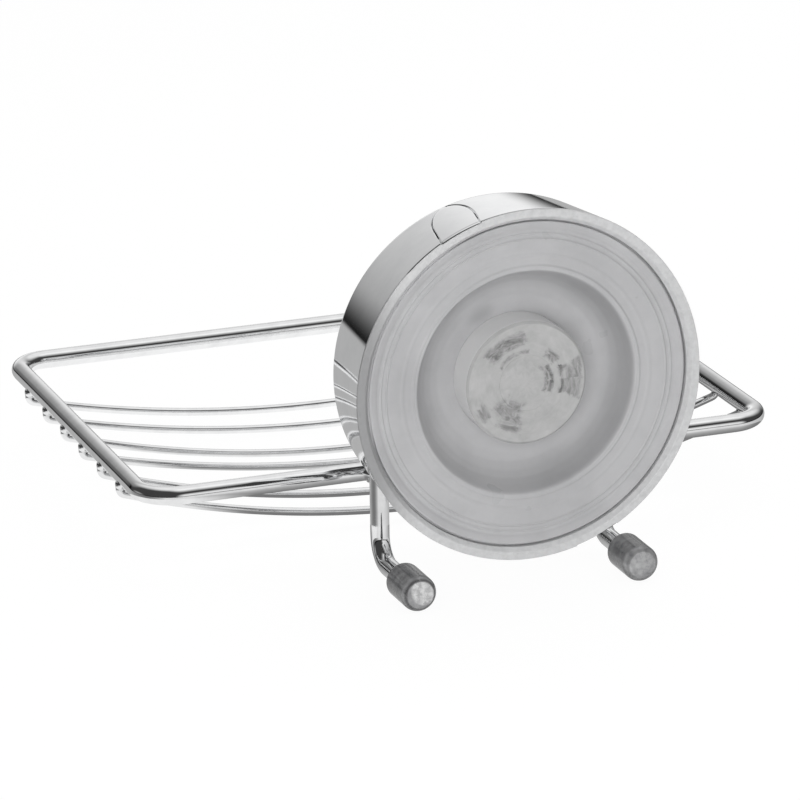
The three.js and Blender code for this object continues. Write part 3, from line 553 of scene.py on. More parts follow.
def housingShell():
    radius, mouth, ledge, lip, front = pick(shell, "radius mouth ledge lipInner depth")
    swing = np.radians(np.linspace(shell["edgeFrom"], 90, 10))[:, None]
    frontEdge = np.array([shell["edgeAt"]]) + shell["edge"] * np.concatenate([np.cos(swing), np.sin(swing)], 1)
    depths = np.concatenate([shell["firstDepths"]] + [np.arange(*run) for run in shell["depthRuns"]])
    inside = rounded([
        [shell["neckHole"], front, 0.3], [shell["neckHole"], shell["inside"], 0.15],
        [shell["innerEnd"], shell["inside"], 0.8], [radius - shell["innerTaper"], ledge, 0.2], [lip, ledge, 0.1],
        [lip, mouth, 0.12], [radius, mouth, 0.04]], closed=False, steps=3)
    profile = np.concatenate([np.stack([shellRadius(depths), depths], 1), frontEdge, [[shell["flatTo"], front]],
                              inside[:-1]])
    fineFrom, fineTo = (tabTurn + x / radius for x in shell["fine"])
    angles = np.concatenate([np.linspace(fineFrom, fineTo, shell["fineCount"]),
                             np.linspace(fineTo, fineFrom + 2 * np.pi, shell["restCount"])[1:-1]])

    def shift(angle, r, depth):
        sunk = 1 - smooth(tongueDistance(r * np.sin(angle - tabTurn), depth), tab["seamInner"], tab["seamOuter"])
        onFace = (r > lip - 0.05) | ((depth > ledge + 0.1) & (r > shellRadius(depth) - 0.6))
        onFace = onFace & (depth < shell["bedEnd"]) & (np.cos(angle - tabTurn) > 0)
        bed = r - tab["bed"] * smooth(depth, shell["bedFrom"], shell["bedFull"]) * sunk
        lowered = np.where(depth < ledge + 0.02, r + (lip + (r - lip) * shell["lipShare"] - r) * sunk, bed)
        return np.where(onFace, lowered, r), depth

    return turned(profile, angles, shift)


# Release tab: a tongue whose skin follows the shell, with rounded edges and a root lip that curls in.
# Each column runs from a spine point to an outline point: place = outline + (spine - outline) * share.
def releaseTab():
    half, straight, end, edge = pick(tab, "halfWidth straight round edge")
    side = np.concatenate([np.linspace(0, 1.6, 14), np.linspace(1.9, straight, 22)[:-1]])
    swing = np.linspace(0, np.pi / 2, 40)
    share = np.concatenate([np.linspace(0, 1, 6) ** 1.6 * edge / half, np.linspace(0.1, 1, 8)])[:, None]
    width = np.concatenate([np.full_like(side, half), half * np.cos(swing)])
    length = np.concatenate([side, straight + end * np.sin(swing)])
    spine = np.interp(length, [0, straight, straight + end], [0, straight, straight + end * tab["spineEnd"]])
    across = mirrored(width, -1)[None] * (1 - share)
    along = mirrored(length, 1)
    along = along[None] + (mirrored(spine, 1) - along)[None] * share
    # the straight part starts at the root's depth, whatever the lean
    root = (tab["root"] - across * math.sin(tabLean)) / math.cos(tabLean)
    along = root + (along / (straight + end)) * (straight + end - root)
    depth = across * math.sin(tabLean) + along * math.cos(tabLean)
    x = across * math.cos(tabLean) - along * math.sin(tabLean)
    inset = np.clip(-tongueDistance(x, depth), 0, edge)
    drop = edge - np.sqrt(np.maximum(edge ** 2 - (edge - inset) ** 2, 0))
    curl = np.clip((tab["curl"][0] - depth) / tab["curl"][1], 0, 1)
    skin = shellRadius(depth) - (shell["radius"] - tab["rootRadius"]) * (1 - np.sqrt(1 - curl ** 2))
    under = np.where(depth < tab["rootDepth"], np.minimum(tab["underRoot"], skin - 0.05),
                     shellRadius(depth) - tab["thickness"])
    top = np.maximum(skin - np.where(depth > tab["curl"][0], drop, drop * tab["rootDrop"]), under + 0.04)
    radius = np.concatenate([under[::-1], top])
    x, depth = np.concatenate([x[::-1], x]), np.concatenate([depth[::-1], depth])
    rows, columns = radius.shape
    level = np.arange(rows // 2 - 1)
    root = [np.stack([row * columns + column for row in (level, level + 1, rows - 2 - level, rows - 1 - level)], -1)
            for column in (0, columns - 1)]
    return aroundAxis(radius, depth, tabTurn + np.arcsin(x / radius)), [gridFaces(rows, columns), *root]


addPiece("housingShell", housingShell(), "polishedChrome", "housing", "housing_shell")
addPiece("releaseTab", releaseTab(), "polishedChrome", "tab", "release_tab", seal=True)
print("shell and release tab made")

# Rim gasket, suction membrane and hub. The front of the membrane runs through its control points
# (front radius, front depth), and each of its ridges is [radius, width, height].
gasket = dict(inner=38.2, outer=40.3, depth=3.7, slopeDepth=1.2, slope=0.9, flange=40.98, flangeDepth=0.59,
              seamFrom=-10.0, seamTo=44.0, seamSoft=0.3, seamGap=0.42, step=0.1, stepDepth=1.3, lap=0.25)
membrane = dict(
    frontRadius=[14.25, 16.0, 18.5, 20.5, 22.3, 23.7, 24.8, 25.5, 26.05, 26.4, 27.4, 29.0, 33.0, 34.9, 37.3],
    frontDepth=[10.35, 10.3, 10.0, 9.3, 8.2, 6.8, 5.0, 3.4, 2.25, 2.05, 2.3, 2.35, 2.1, 2.25, 1.4],
    ridges=[[27.1, 0.3, 0.16], [29.6, 0.4, 0.13], [33.5, 0.22, 0.2], [34.75, 0.25, 0.22], [35.6, 0.4, -0.1]],
    runs=[(14.25, 22.5, 0.3), (22.5, 28.0, 0.1), (28.0, 33.0, 0.25), (33.0, 37.3, 0.08)],
    edge=37.7, floorDepth=2.5, gap=0.06, softness=0.25, floorLight=1.75, lightFrom=25.0, lightTo=105.0, lightSoft=8,
    back=[[4.0, 0.2], [29.2, 3.6, 1.0], [27.6, 4.4, 1.0], [25.6, 11.0, 0.8], [24.6, 12.0, 0.8], [14.25, 12.0, 0.2],
          [14.25, 10.35, 0.0]],
    blendFrom=4.2, blendTo=9.5)
hub = dict(radius=14.4, front=2.0, back=5.0, edge=0.6, flange=15.8, flangeFront=12.3, flangeBack=13.5, wall=1.5,
           socketInner=4.3, socketOuter=6.55, socketEnd=10.6, step=6.6, stepDepth=0.1, clawInner=8.0, clawOuter=10.2,
           clawArc=44.0, clawPhase=60.0, clawEnd=13.0)


# Gasket: a ring whose flange laps over the shell's mouth. Beside the release tab the flange stands off the
# shell by a fine seam, and the face steps down where that seam ends.
def rimGasket():
    inner, outer, depth, flange, flangeDepth, step = pick(gasket, "inner outer depth flange flangeDepth step")
    lapFrom, faceEnd, bedded = outer + gasket["lap"], gasket["stepDepth"], flangeDepth + 0.02
    profile = rounded([
        [inner, gasket["slopeDepth"], 0.3], [inner + gasket["slope"], 0, 0.5], [flange, 0, 0.22],
        [flange, flangeDepth, 0.03], [outer, bedded, 0.05], [outer, depth, 0.2], [inner, depth, 0.2]])

    def shift(angle, r, depth):
        beside = band(degreesFromTop(angle), gasket["seamFrom"], gasket["seamTo"], gasket["seamSoft"])
        clear = smooth(tongueDistance(r * np.sin(angle - tabTurn), depth), 0.1, 0.35)
        lap = r > lapFrom
        stepped = depth + step * (1 - beside) * np.clip((faceEnd - depth) / faceEnd, 0, 1)
        stepped = np.where(lap & (depth > 0.3), np.minimum(depth - gasket["seamGap"] * beside, bedded), stepped)
        return np.where(lap, r - (r - lapFrom) * 0.8 * (1 - clear), r), stepped

    return turned(profile, circle(720), shift)


# Membrane: front depth = smoothed control points - a bell for each moulded ridge. The thin web that closes the
# gap to the gasket lies higher on the side between the two light angles.
def suctionMembrane():
    edge, floorDepth, softness = pick(membrane, "edge floorDepth softness")
    r = np.concatenate([np.arange(*run) for run in membrane["runs"]])
    wide = np.linspace(-2.5, 2.5, 51) * softness
    weight = bell(wide, 0, softness)
    spread = np.interp(r[:, None] + wide[None], membrane["frontRadius"], membrane["frontDepth"])
    front = (spread * weight).sum(1) / weight.sum()
    for radius, width, height in membrane["ridges"]:
        front = front - height * bell(r, radius, width)
    seat = gasket["inner"] - membrane["gap"]
    rim = rounded([[membrane["frontRadius"][-1], front[-1], 0], [edge, front[-1] + 0.05, 0.3],
                   [edge, floorDepth, 0.05], [seat, floorDepth, 0.02], [seat, *membrane["back"][0]],
                   *membrane["back"][1:]], closed=False)

    def shift(angle, radius, depth):
        share = band(degreesFromTop(angle), *pick(membrane, "lightFrom lightTo lightSoft"))
        onFloor = (radius > edge - 0.02) & (np.abs(depth - floorDepth) < 0.2)
        return radius, np.where(onFloor, depth - (floorDepth - membrane["floorLight"]) * share, depth)

    return turned(np.concatenate([np.stack([r, front], 1), rim[1:-1]]), circle(360), shift)


# Hub: a disc with a shallow step, a rim that grips the bead, and a socket in the middle
def suctionHub():
    radius, front, back, edge, flange, step = pick(hub, "radius front back edge flange step")
    flangeFront, flangeBack, inner, outer, end = pick(hub, "flangeFront flangeBack socketInner socketOuter socketEnd")
    low, wall = front + hub["stepDepth"], radius - hub["wall"]
    return turned(rounded([
        [0, low, 0], [step - 0.2, low, 0.12], [step, front, 0.12], [radius - edge, front, 0.3],
        [radius, front + edge, 0.3], [radius, flangeFront, 0.2], [flange, flangeFront, 0.25],
        [flange, flangeBack, 0.25], [wall, flangeBack, 0.2], [wall, back, 0.5], [outer, back, 0.4],
        [outer, end, 0.3], [inner, end, 0.3], [inner, back, 0.2], [0, back, 0]], closed=False, steps=4))


# A curved wall round the axis: rows are a closed rounded section, columns run along the arc,
# and a flat fan closes each end. The middle angle is counted from +x towards +z.
def arcWall(inner, outer, start, end, middleDegrees, arcDegrees, steps=20, edge=0.35):
    section = rounded([[inner, start, 0.1], [outer, start, 0.1], [outer, end, edge], [inner, end, edge]], steps=4)
    if profileArea(section) < 0:
        section = section[::-1]
    halfArc, ease = math.radians(arcDegrees) / 2, edge / outer * 0.3
    angles = math.radians(90 - middleDegrees) + np.linspace(-halfArc, halfArc, steps)
    wall = aroundAxis(section[:, :1], section[:, 1:], angles[None])
    ends = aroundAxis(*section.mean(0), np.array([angles[0] - ease, angles[-1] + ease]))
    ring, last = np.arange(len(section)) * steps, len(wall) + 1
    return np.concatenate([wall, ends]), [gridFaces(len(section), steps, True, False), fanFaces(ring, last - 1),
                                          fanFaces(ring + steps - 1, last, flip=True)]


# Three walls, a third of a turn apart
def threeWalls(inner, outer, start, end, phase, arc):
    return [arcWall(inner, outer, start, end, phase + 120 * i, arc) for i in range(3)]


addPiece("rimGasket", rimGasket(), "frostedVinyl", "housing", "rim_gasket")
membranePiece = addPiece("suctionMembrane", suctionMembrane(), "milkyVinyl", node="suction_membrane")
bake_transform(membranePiece)
addPiece("suctionHub", suctionHub(), "clearPlastic", "stem", "suction_hub")
claws = joined(*threeWalls(hub["clawInner"], hub["clawOuter"], hub["back"] + 0.05, hub["clawEnd"],
                           hub["clawPhase"], hub["clawArc"]))
addPiece("hubClaws", claws, "clawPlastic", "stem", seal=True)
print("gasket, membrane and hub made")

# Inner works: the shaft, the spring, and the base with its guide, its neck and its three ribs.
# The base's section is rows of [radius, depth, round].
inner = dict(stemRadius=4.0, stemStart=5.3, stemEnd=36.2, springRadius=11.55, springWire=1.2, springFrom=5.9,
             springTo=18.1, springTurns=5, ribs=(8.0, 10.2, 12.3, 19.2, 120, 68.8))
baseSection = [
    [33.6, 4.3, 0.3], [36.0, 4.3, 0.3], [36.0, 21.5, 0.5], [15.0, 21.5, 0.4], [15.0, 32.4, 0.15], [14.0, 32.4, 0.1],
    [14.0, 34.0, 0.1], [15.0, 34.0, 0.15], [15.0, 34.8, 0.3], [12.0, 34.8, 0.3], [12.0, 21.5, 0.4], [7.45, 21.5, 0.4],
    [7.45, 25.3, 0.3], [4.35, 25.3, 0.3], [4.35, 15.4, 0.3], [7.45, 15.4, 0.3], [7.45, 19.0, 0.4], [33.6, 19.0, 0.8]]


def returnSpring():
    radius, start, end, turnCount = pick(inner, "springRadius springFrom springTo springTurns")
    turns = np.linspace(0, 2 * np.pi * turnCount, 48 * turnCount + 1)
    path = spots(radius * np.cos(turns), np.interp(turns, [turns[0], turns[-1]], [start, end]), radius * np.sin(turns))
    return tube(path, inner["springWire"] / 2, spots(np.cos(turns), 0, np.sin(turns)), sides=12)


def stemShaft():
    radius, start, end = pick(inner, "stemRadius stemStart stemEnd")
    return turned(rounded([[0, start, 0], [radius, start, 0.4], [radius, end, 0.5], [0, end, 0]],
                          closed=False, steps=4), circle(64))


addPiece("stemShaft", stemShaft(), "whitePlastic", "stem", "stem_shaft")
springPiece = addPiece("returnSpring", returnSpring(), "springSteel", node="return_spring")
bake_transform(springPiece)
base = joined(turned(rounded(baseSection, steps=4)), *threeWalls(*inner["ribs"]))
addPiece("innerBase", base, "whitePlastic", "housing", "inner_base", seal=True)
print("inner works made")

# Wire cover, knob and cap on the room side
cover = dict(radius=32.0, flat=19.0, hole=15.3, back=24.5, front=30.5, edge=1.5)
knob = dict(radius=23.0, taper=1.0, back=30.8, front=44.4, bore=20.0, edge=1.5, edgeRound=1.3, footEdge=0.9,
            taperLength=13.0, flutes=12, fluteRadius=4.0, fluteCut=0.9, fluteBack=32.3, fluteFront=42.9, hole=15.35,
            shoulder=18.4, shoulderLength=2, seat=38.4, flange=1.3)
cap = dict(radius=19.7, back=41.0, edge=43.6, crown=44.5, rim=0.75, domeShare=0.94)


# Cover: a lathe cut off by the flat bottom: limit = min(radius, flat / |cos|)
def wireCover():
    radius, flat, hole, back, front = pick(cover, "radius flat hole back front")
    profile = rounded([[hole, back, 0.2], [radius, back, 0.3], [radius, front, cover["edge"]], [hole, front, 0.3]],
                      steps=6)
    bendAngle = math.acos(flat / radius)
    angles = np.concatenate([np.linspace(bendAngle - np.pi, np.pi - bendAngle, 150),
                             np.linspace(np.pi - bendAngle, np.pi + bendAngle, 50)[1:-1]])

    def shift(angle, r, depth):
        below = -np.cos(angle)
        limit = np.where(below > 0.05, np.minimum(radius, flat / np.maximum(below, 0.05)), radius)
        return hole + (r - hole) / (radius - hole) * (limit - hole), depth

    return turned(profile, angles, shift)


# Knob: radius = lathe radius, less the depth of the flute's round bottom at that angle where a flute runs
def lockKnob():
    radius, back, front, bore, edge, seat = pick(knob, "radius back front bore edge seat")
    hole, shoulder, fluteRadius = pick(knob, "hole shoulder fluteRadius")
    frontRadius, foot = radius - knob["taper"], back + knob["footEdge"]
    flangeTop, shoulderBack = back + knob["flange"], seat - knob["shoulderLength"]
    side = np.linspace(foot, front - edge - 0.1, 26)
    outer = np.stack([radius + (frontRadius - radius) * (side - back) / knob["taperLength"], side], 1)
    rest = rounded([[frontRadius - 0.05, front - edge, 0], [frontRadius, front, knob["edgeRound"]],
                    [bore, front, 0.3], [bore, seat, 0.15], [shoulder, seat, 0.15], [shoulder, shoulderBack, 0.15],
                    [bore, shoulderBack, 0.2], [bore, flangeTop, 0.2], [hole, flangeTop, 0.15], [hole, back, 0.15],
                    [radius, back, 0.7], [radius, foot, 0]], closed=False)
    step = 2 * np.pi / knob["flutes"]
    reach = radius + fluteRadius - knob["fluteCut"]

    def shift(angle, r, depth):
        away = np.abs(angle % step - step / 2)
        aside = reach * np.sin(away)
        x = reach * np.cos(away) - np.sqrt(np.maximum(fluteRadius ** 2 - aside ** 2, 0))
        run = smooth(depth, knob["fluteBack"] - 0.25, knob["fluteBack"] + 0.25) * \
            (1 - smooth(depth, knob["fluteFront"] - 0.9, knob["fluteFront"]))
        cut = np.where((aside < fluteRadius) & (r > bore + 0.9), np.minimum(r, x), r)
        return r - (r - cut) * run, depth

    return turned(np.concatenate([outer, rest[1:-1]]), circle(432), shift)


# Cap: a shallow dome, crown height * (1 - share squared), with a rounded rim
def knobCap():
    radius, back, edge, crown = pick(cap, "radius back edge crown")
    share = np.linspace(0, cap["domeShare"], 14)
    dome = np.stack([share * radius, crown - (crown - edge) * share ** 2], 1)
    rim = rounded([[*dome[-1], 0], [radius, edge, cap["rim"]], [radius, back, 0.3], [0, back, 0]], closed=False)
    return turned(np.concatenate([dome, rim[1:]]))


addPiece("wireCover", wireCover(), "polishedChrome", "housing", "wire_cover")
addPiece("lockKnob", lockKnob(), "polishedChrome", "knob", "lock_knob")
addPiece("knobCap", knobCap(), "polishedChrome", "knob", "knob_cap")
print("cover, knob and cap made")

# Wires: the basket's ring, the support wire, the arms and the thin wires
basket = dict(wire=4.38, sides=28, thin=1.9, thinSides=16, wallDepth=45.2, roomDepth=155.5, wallHalf=76.0,
              roomHalf=74.0, railZ=-31.0, corner=8.0, firstWire=63.2, pitch=14.86, sag=11.2,
              sagShares=[1.09, 1.12, 0.88, 1.02, 0.87, 0.86], curl=1.5, overhang=1.3, straight=0.4,
              ends=[-0.1, 0.25, 0.6, 1.3], weld=0.12, weldAt=0.7, weldWidth=0.5)
support = dict(half=26.8, hoopDepth=26.7, footZ=-46.1, footStart=2.2, footGap=0.5, bend=6.0, endEdge=0.5, armX=22.1,
               armTop=-18.6, armBend=5.0, armEnd=1.4, weld=0.45, weldAt=2.3, weldWidth=0.9, beadRadius=1.5,
               beadFrom=-26.5, beadTo=-21.5)
room, up, down = np.array([[0, -1, 0], [0, 0, 1], [0, 0, -1]])
otherSide = np.array([-1, 1, 1])


def basketFrame():
    halves, depths = np.array(pick(basket, "roomHalf wallHalf")), np.array(pick(basket, "roomDepth wallDepth"))
    corners = mirrored(spots(np.append(halves, 0), np.append(depths, 0), basket["railZ"]), otherSide)[[0, 1, 3, 4]]
    arriving = unit(corners - np.roll(corners, 1, 0))
    leaving = np.roll(arriving, -1, 0)
    arcs = [bend(corners[i], arriving[i], leaving[i], basket["corner"], 16) for i in range(4)]
    share, path = np.linspace(0, 1, 42)[1:-1, None], []
    for arc, following in zip(arcs, arcs[1:] + arcs[:1]):
        path += [arc, arc[-1] + (following[0] - arc[-1]) * share]
    return tube(np.concatenate(path), basket["wire"] / 2, up, basket["sides"], closed=True)


# The support wire: its side direction is x on the feet, and turns to y up the legs for the hoop
def supportWire():
    half, depth, bottom, radius = pick(support, "half hoopDepth footZ bend")
    foot = spots(half, np.linspace(support["footStart"], depth - radius - support["footGap"], 20), bottom)
    elbow = bend(spots(half, depth, bottom), room, up, radius)
    leg = spots(half, depth, np.linspace(bottom + radius, 0, 20)[1:-1])
    turn = np.linspace(0, np.pi / 2, 32)
    hoop = spots(half * np.cos(turn), depth, half * np.sin(turn))
    path = mirrored(np.concatenate([foot, elbow, leg, hoop]), otherSide)
    twist = mirrored(np.concatenate([np.zeros(len(foot) + len(elbow)), np.linspace(0, np.pi / 2, 20)[1:-1],
                                     np.full(len(hoop), np.pi / 2)]), 1)
    side = np.stack([np.where(path[:, 0] > 0, 1, -1) * np.cos(twist), np.sin(twist), 0 * twist], -1)
    stations, radii = endStations(path, basket["wire"] / 2, support["endEdge"])
    extra = (len(stations) - len(path)) // 2
    return tube(stations, radii, np.pad(side, ((extra, extra), (0, 0)), mode="edge"), basket["sides"])


# An arm: down from the cover, round the bend and out into the rail, with a bead welded to the leg
def basketArm(sign):
    x, depth, radius, rail = sign * support["armX"], support["hoopDepth"], support["armBend"], basket["railZ"]
    path = np.concatenate([
        spots(x, depth, np.linspace(support["armTop"], rail + radius, 12)[:-1]),
        bend(spots(x, depth, rail), down, room, radius),
        spots(x, np.linspace(depth + radius, basket["wallDepth"] - support["armEnd"], 14)[1:], rail)])
    bulge = support["weld"] * bell(-path[:, 1], basket["wallDepth"] - support["weldAt"], support["weldWidth"])
    arm = tube(path, basket["wire"] / 2 + bulge, [1, 0, 0], basket["sides"])
    middle = (support["armX"] + support["half"]) / 2 * sign
    radii = support["beadRadius"] * np.sin(np.linspace(0, np.pi, 17)) ** 0.4
    bead = spots(middle, depth, np.linspace(support["beadFrom"], support["beadTo"], 17))
    return joined(arm, tube(bead, np.maximum(radii, 0.02), [1, 0, 0], sides=20))


# A thin wire: height = level - sag * (1 - share squared), then an arc that turns its end up into the rail
def basketWire(i):
    wallDepth, roomDepth, wallHalf, curl = pick(basket, "wallDepth roomDepth wallHalf curl")
    depth = basket["firstWire"] + basket["pitch"] * i
    sag = basket["sag"] * basket["sagShares"][i]
    half = wallHalf + (basket["roomHalf"] - wallHalf) * (depth - wallDepth) / (roomDepth - wallDepth)
    slope = math.atan(2 * sag / half)
    end = half + basket["overhang"]
    reach = end - curl * (1 - math.sin(slope))
    tip = basket["railZ"] - basket["wire"] / 2 - 0.3
    level = tip - basket["straight"] - curl * math.cos(slope)
    share = np.linspace(-1, 1, 81)
    swing = np.linspace(slope, np.pi / 2, 10)[1:]
    curved = spots(reach + curl * (np.sin(swing) - math.sin(slope)), depth,
                   level + curl * (math.cos(slope) - np.cos(swing)))
    right = np.concatenate([curved, spots(end, depth, tip + np.array(basket["ends"]))])
    path = np.concatenate([right[::-1] * otherSide, spots(reach * share, depth, level - sag * (1 - share ** 2)), right])
    bulge = basket["weld"] * bell(path[:, 2], tip + basket["weldAt"], basket["weldWidth"])
    return tube(path, basket["thin"] / 2 + bulge, [0, 1, 0], basket["thinSides"])


addPiece("basketFrame", basketFrame(), "wireChrome", "housing", "basket_frame")
addPiece("supportWire", supportWire(), "wireChrome", "housing", "support_wire")
for name, sign in (("left", 1), ("right", -1)):
    addPiece("basketArm" + name.capitalize(), basketArm(sign), "wireChrome", "housing", "basket_arm_" + name)
for i in range(6):
    addPiece(f"basketWire{i + 1}", basketWire(i), "wireChrome", "housing", f"basket_wire_{i + 1}")
print("wires made")

# Foot caps: smoky vinyl with a closed rounded end and a bore for the wire
footCap = dict(radius=4.2, length=11.5, end=1.9, edge=1.8, bore=2.28)


def footCapShape(sign):
    radius, length, end, bore = pick(footCap, "radius length end bore")
    points, faces = turned(rounded([[0, 0, 0], [radius, 0, footCap["edge"]], [radius, length, 0.5],
                                    [bore, length, 0.4], [bore, end, 0.2], [0, end, 0]], closed=False, steps=8),
                           circle(96))
    return points + np.array([sign * support["half"], 0, support["footZ"]]), faces


# The caps are smoky and see-through, and denser along their edges. Their ends carry painted light for the sawn wire:
# a mottled painted light round, weaker on the far cap, in a dark ring, cut by a shifted circle that leaves a dark
# crescent on one side of it, as distances from the foot's axis.
wireEnd = dict(radius=3.3, deep=1.2, crescent=(-1.1, 0.9), crescentSoft=0.3, rim=0.3, paintedEndLight=(0.72, 0.72, 0.72),
               socket=(0.45, -0.1), socketSoft=0.2, socketShare=0.75, spots=(900.0, 3.0, 0.7), spotFade=(0.4, 0.6),
               spotShare=(0.3, 0.92), far=0.3, blend=0.35, edge=(0.05, 0.05, 0.052), edgeFade=(0.2, 0.75),
               edgeShare=0.9, alphaFade=(0.1, 0.8), alpha=0.78)


def finishSmoky():
    _, kit, shader, place, colour = made["smokyVinyl"]
    calc = kit.calc
    x, y, z = kit.parts(place)

    # 1 within a radius of a point that lies aside and up from the foot's axis
    def within(radius, soft, aside=0, up=0):
        away = kit.length(calc("SUBTRACT", calc("ABSOLUTE", x), (support["half"] + aside) * mm),
                          calc("SUBTRACT", z, (support["footZ"] + up) * mm))
        return kit.ramp(away, (radius - soft) * mm, (radius + soft) * mm, 1.0, 0.0)

    radius, (wider, narrower) = wireEnd["radius"], wireEnd["socket"]
    front = calc("GREATER_THAN", y, -wireEnd["deep"] * mm)
    face = kit.times(within(radius, wireEnd["rim"]), front)
    near = kit.line(x, -0.01, 0.01, wireEnd["far"])
    paintedLightMottle = kit.line(kit.noise(place, *wireEnd["spots"]), *wireEnd["spotFade"], *wireEnd["spotShare"])
    # painted light on the cap's end, weaker on the far cap
    share = kit.times(face, within(radius, wireEnd["crescentSoft"], *wireEnd["crescent"]), paintedLightMottle, near)
    socket = calc("SUBTRACT", within(radius + wider, wireEnd["socketSoft"]),
                  within(radius + narrower, wireEnd["socketSoft"]))
    facing = kit.add("LayerWeight", {"Blend": wireEnd["blend"]}).outputs["Facing"]
    edge = calc("MAXIMUM", kit.line(facing, *wireEnd["edgeFade"], 0.0, wireEnd["edgeShare"]),
                kit.times(socket, front, near, wireEnd["socketShare"]))
    paintedEndLight = kit.mix(share, colour, (*wireEnd["paintedEndLight"], 1))
    kit.feed(shader, "Base Color", kit.mix(edge, paintedEndLight, (*wireEnd["edge"], 1)))
    kit.feed(shader, "Alpha", calc("MAXIMUM", kit.line(facing, *wireEnd["alphaFade"], wireEnd["alpha"]), face))


for name, sign in (("left", 1), ("right", -1)):
    addPiece("footCap" + name.capitalize(), footCapShape(sign), "smokyVinyl", "housing", "foot_cap_" + name)
finishSmoky()
print("foot caps made")

# Nodes whose CAD shape stays get the same finishes
for finish, nodes in (("whitePlastic", ["cam_ring"]), ("springSteel", [
        "retaining_clip", "drive_pin", "base_screw_1", "base_screw_2", "base_screw_3"])):
    for node in nodes:
        for slot in bpy.data.objects[node].material_slots:
            slot.material = made[finish][0]
print("kept nodes finished")


# Directions are given as (degrees up, degrees round), counted from straight into the room towards +x
def direction(upDegrees, roundDegrees):
    high, around = math.radians(upDegrees), math.radians(roundDegrees)
    return math.cos(high) * math.sin(around), -math.cos(high) * math.cos(around), math.sin(high)


# Studio that the metal shows: soft lights above and behind, darker gaps between them, a wide window and a grey
# table below. A light or gap is [direction, full within, gone beyond, value], and the window is the same with
# how much flatter than wide it is. Table tones and the ambient light are plain values.
studio = dict(
    base=0.05,
    lights=[[(60, -40), 20, 55, 0.80], [(66, -136), 8, 28, 0.35], [(4, -158), 8, 30, 0.78],
            [(-12, 68), 8, 28, 0.50], [(32, 20), 5, 26, 0.20]],
    gaps=[[(4, 25), 7, 17, 0.03], [(-8, -32), 3, 14, 0.55], [(40, -155), 4, 15, 0.85]],
    window=[(5, -13), 0, 46, 0.92, 1.6], windowFoot=[-6, 5], brightest=0.97,
    tableUp=-5.5, tableEdge=1.0, tableFront=0.44, tableSide=0.18, tableBehind=0.75, behindFade=(-0.6, 0.8),
    sideFade=(0.5, 0.95), ambient=0.48)


def setWorld():
    world = bpy.data.worlds.new("studio")
    bpy.context.scene.world = world
    world.use_nodes = True
    kit = NodeKit(world.node_tree)
    kit.tree.nodes.clear()
    calc, look = kit.calc, kit.add("TexCoord").outputs["Generated"]
    x, y, z = kit.parts(look)

    def degrees(operation, *values):
        return calc("DEGREES", calc(operation, *values))

    def spot(centre, inside, outside, value):
        dot = kit.add("VectorMath", {0: look, 1: direction(*centre)}, operation="DOT_PRODUCT").outputs["Value"]
        return kit.ramp(degrees("ARCCOSINE", dot), inside, outside, value, 0.0)

    above = studio["base"]
    for light in studio["lights"]:
        above = calc("ADD", above, spot(*light))
    for centre, inside, outside, value in studio["gaps"]:
        above = kit.times(above, kit.inverse(spot(centre, inside, outside, 1.0 - value)))
    height = degrees("ARCSINE", z)
    around = degrees("ARCTAN2", x, kit.times(y, -1.0))
    (up, side), inside, outside, value, flatter = studio["window"]
    spread = kit.length(calc("SUBTRACT", around, side), kit.times(calc("SUBTRACT", height, up), flatter))
    above = calc("ADD", above, kit.ramp(spread, inside, outside, value, 0.0))
    above = calc("MINIMUM", kit.times(above, kit.ramp(height, *studio["windowFoot"])), studio["brightest"])
    aside = kit.line(x, *studio["sideFade"])
    ahead = kit.line(y, *studio["behindFade"], studio["tableFront"], studio["tableBehind"])
    table = kit.mix(aside, ahead, studio["tableSide"], "FLOAT")
    edge = studio["tableEdge"] / 2
    lift = kit.line(height, studio["tableUp"] - edge, studio["tableUp"] + edge)
    tone = kit.mix(lift, table, above, "FLOAT")
    # the camera sees white, the metal sees the studio, and all else gets the ambient light
    rays = kit.add("LightPath").outputs
    shown = calc("ADD", rays["Is Camera Ray"], rays["Is Transmission Ray"], clamp=True)
    strength = kit.mix(rays["Is Glossy Ray"], studio["ambient"], tone, "FLOAT")
    strength = kit.mix(shown, strength, 1.0, "FLOAT")
    background = kit.add("Background", {"Color": (1, 1, 1, 1), "Strength": strength}).outputs["Background"]
    kit.add("OutputWorld", {"Surface": background})


setWorld()
print("studio made")

# Floor: a wide round sheet under the caps. It shows white to the camera and keeps a faint shadow. Metal close
# to it sees a painted tone: a painted shadow, grey under the housing and on the right, and white further into the
# room, behind the wall's plane and on the left. Metal far from it sees the studio.
floor = dict(z=-50.4, rings=[0, 60, 200, 1200], glow=0.95, shadowed=0.07, bounce=0.8, near=0.04, paintedShadowGrey=0.2,
             farWhite=0.95, aheadFade=(-75.0, -115.0), rightFade=(-60.0, -20.0), behindFade=(-60.0, 20.0),
             behindShare=0.85, leftFade=(42.0, 62.0), leftShare=0.9)


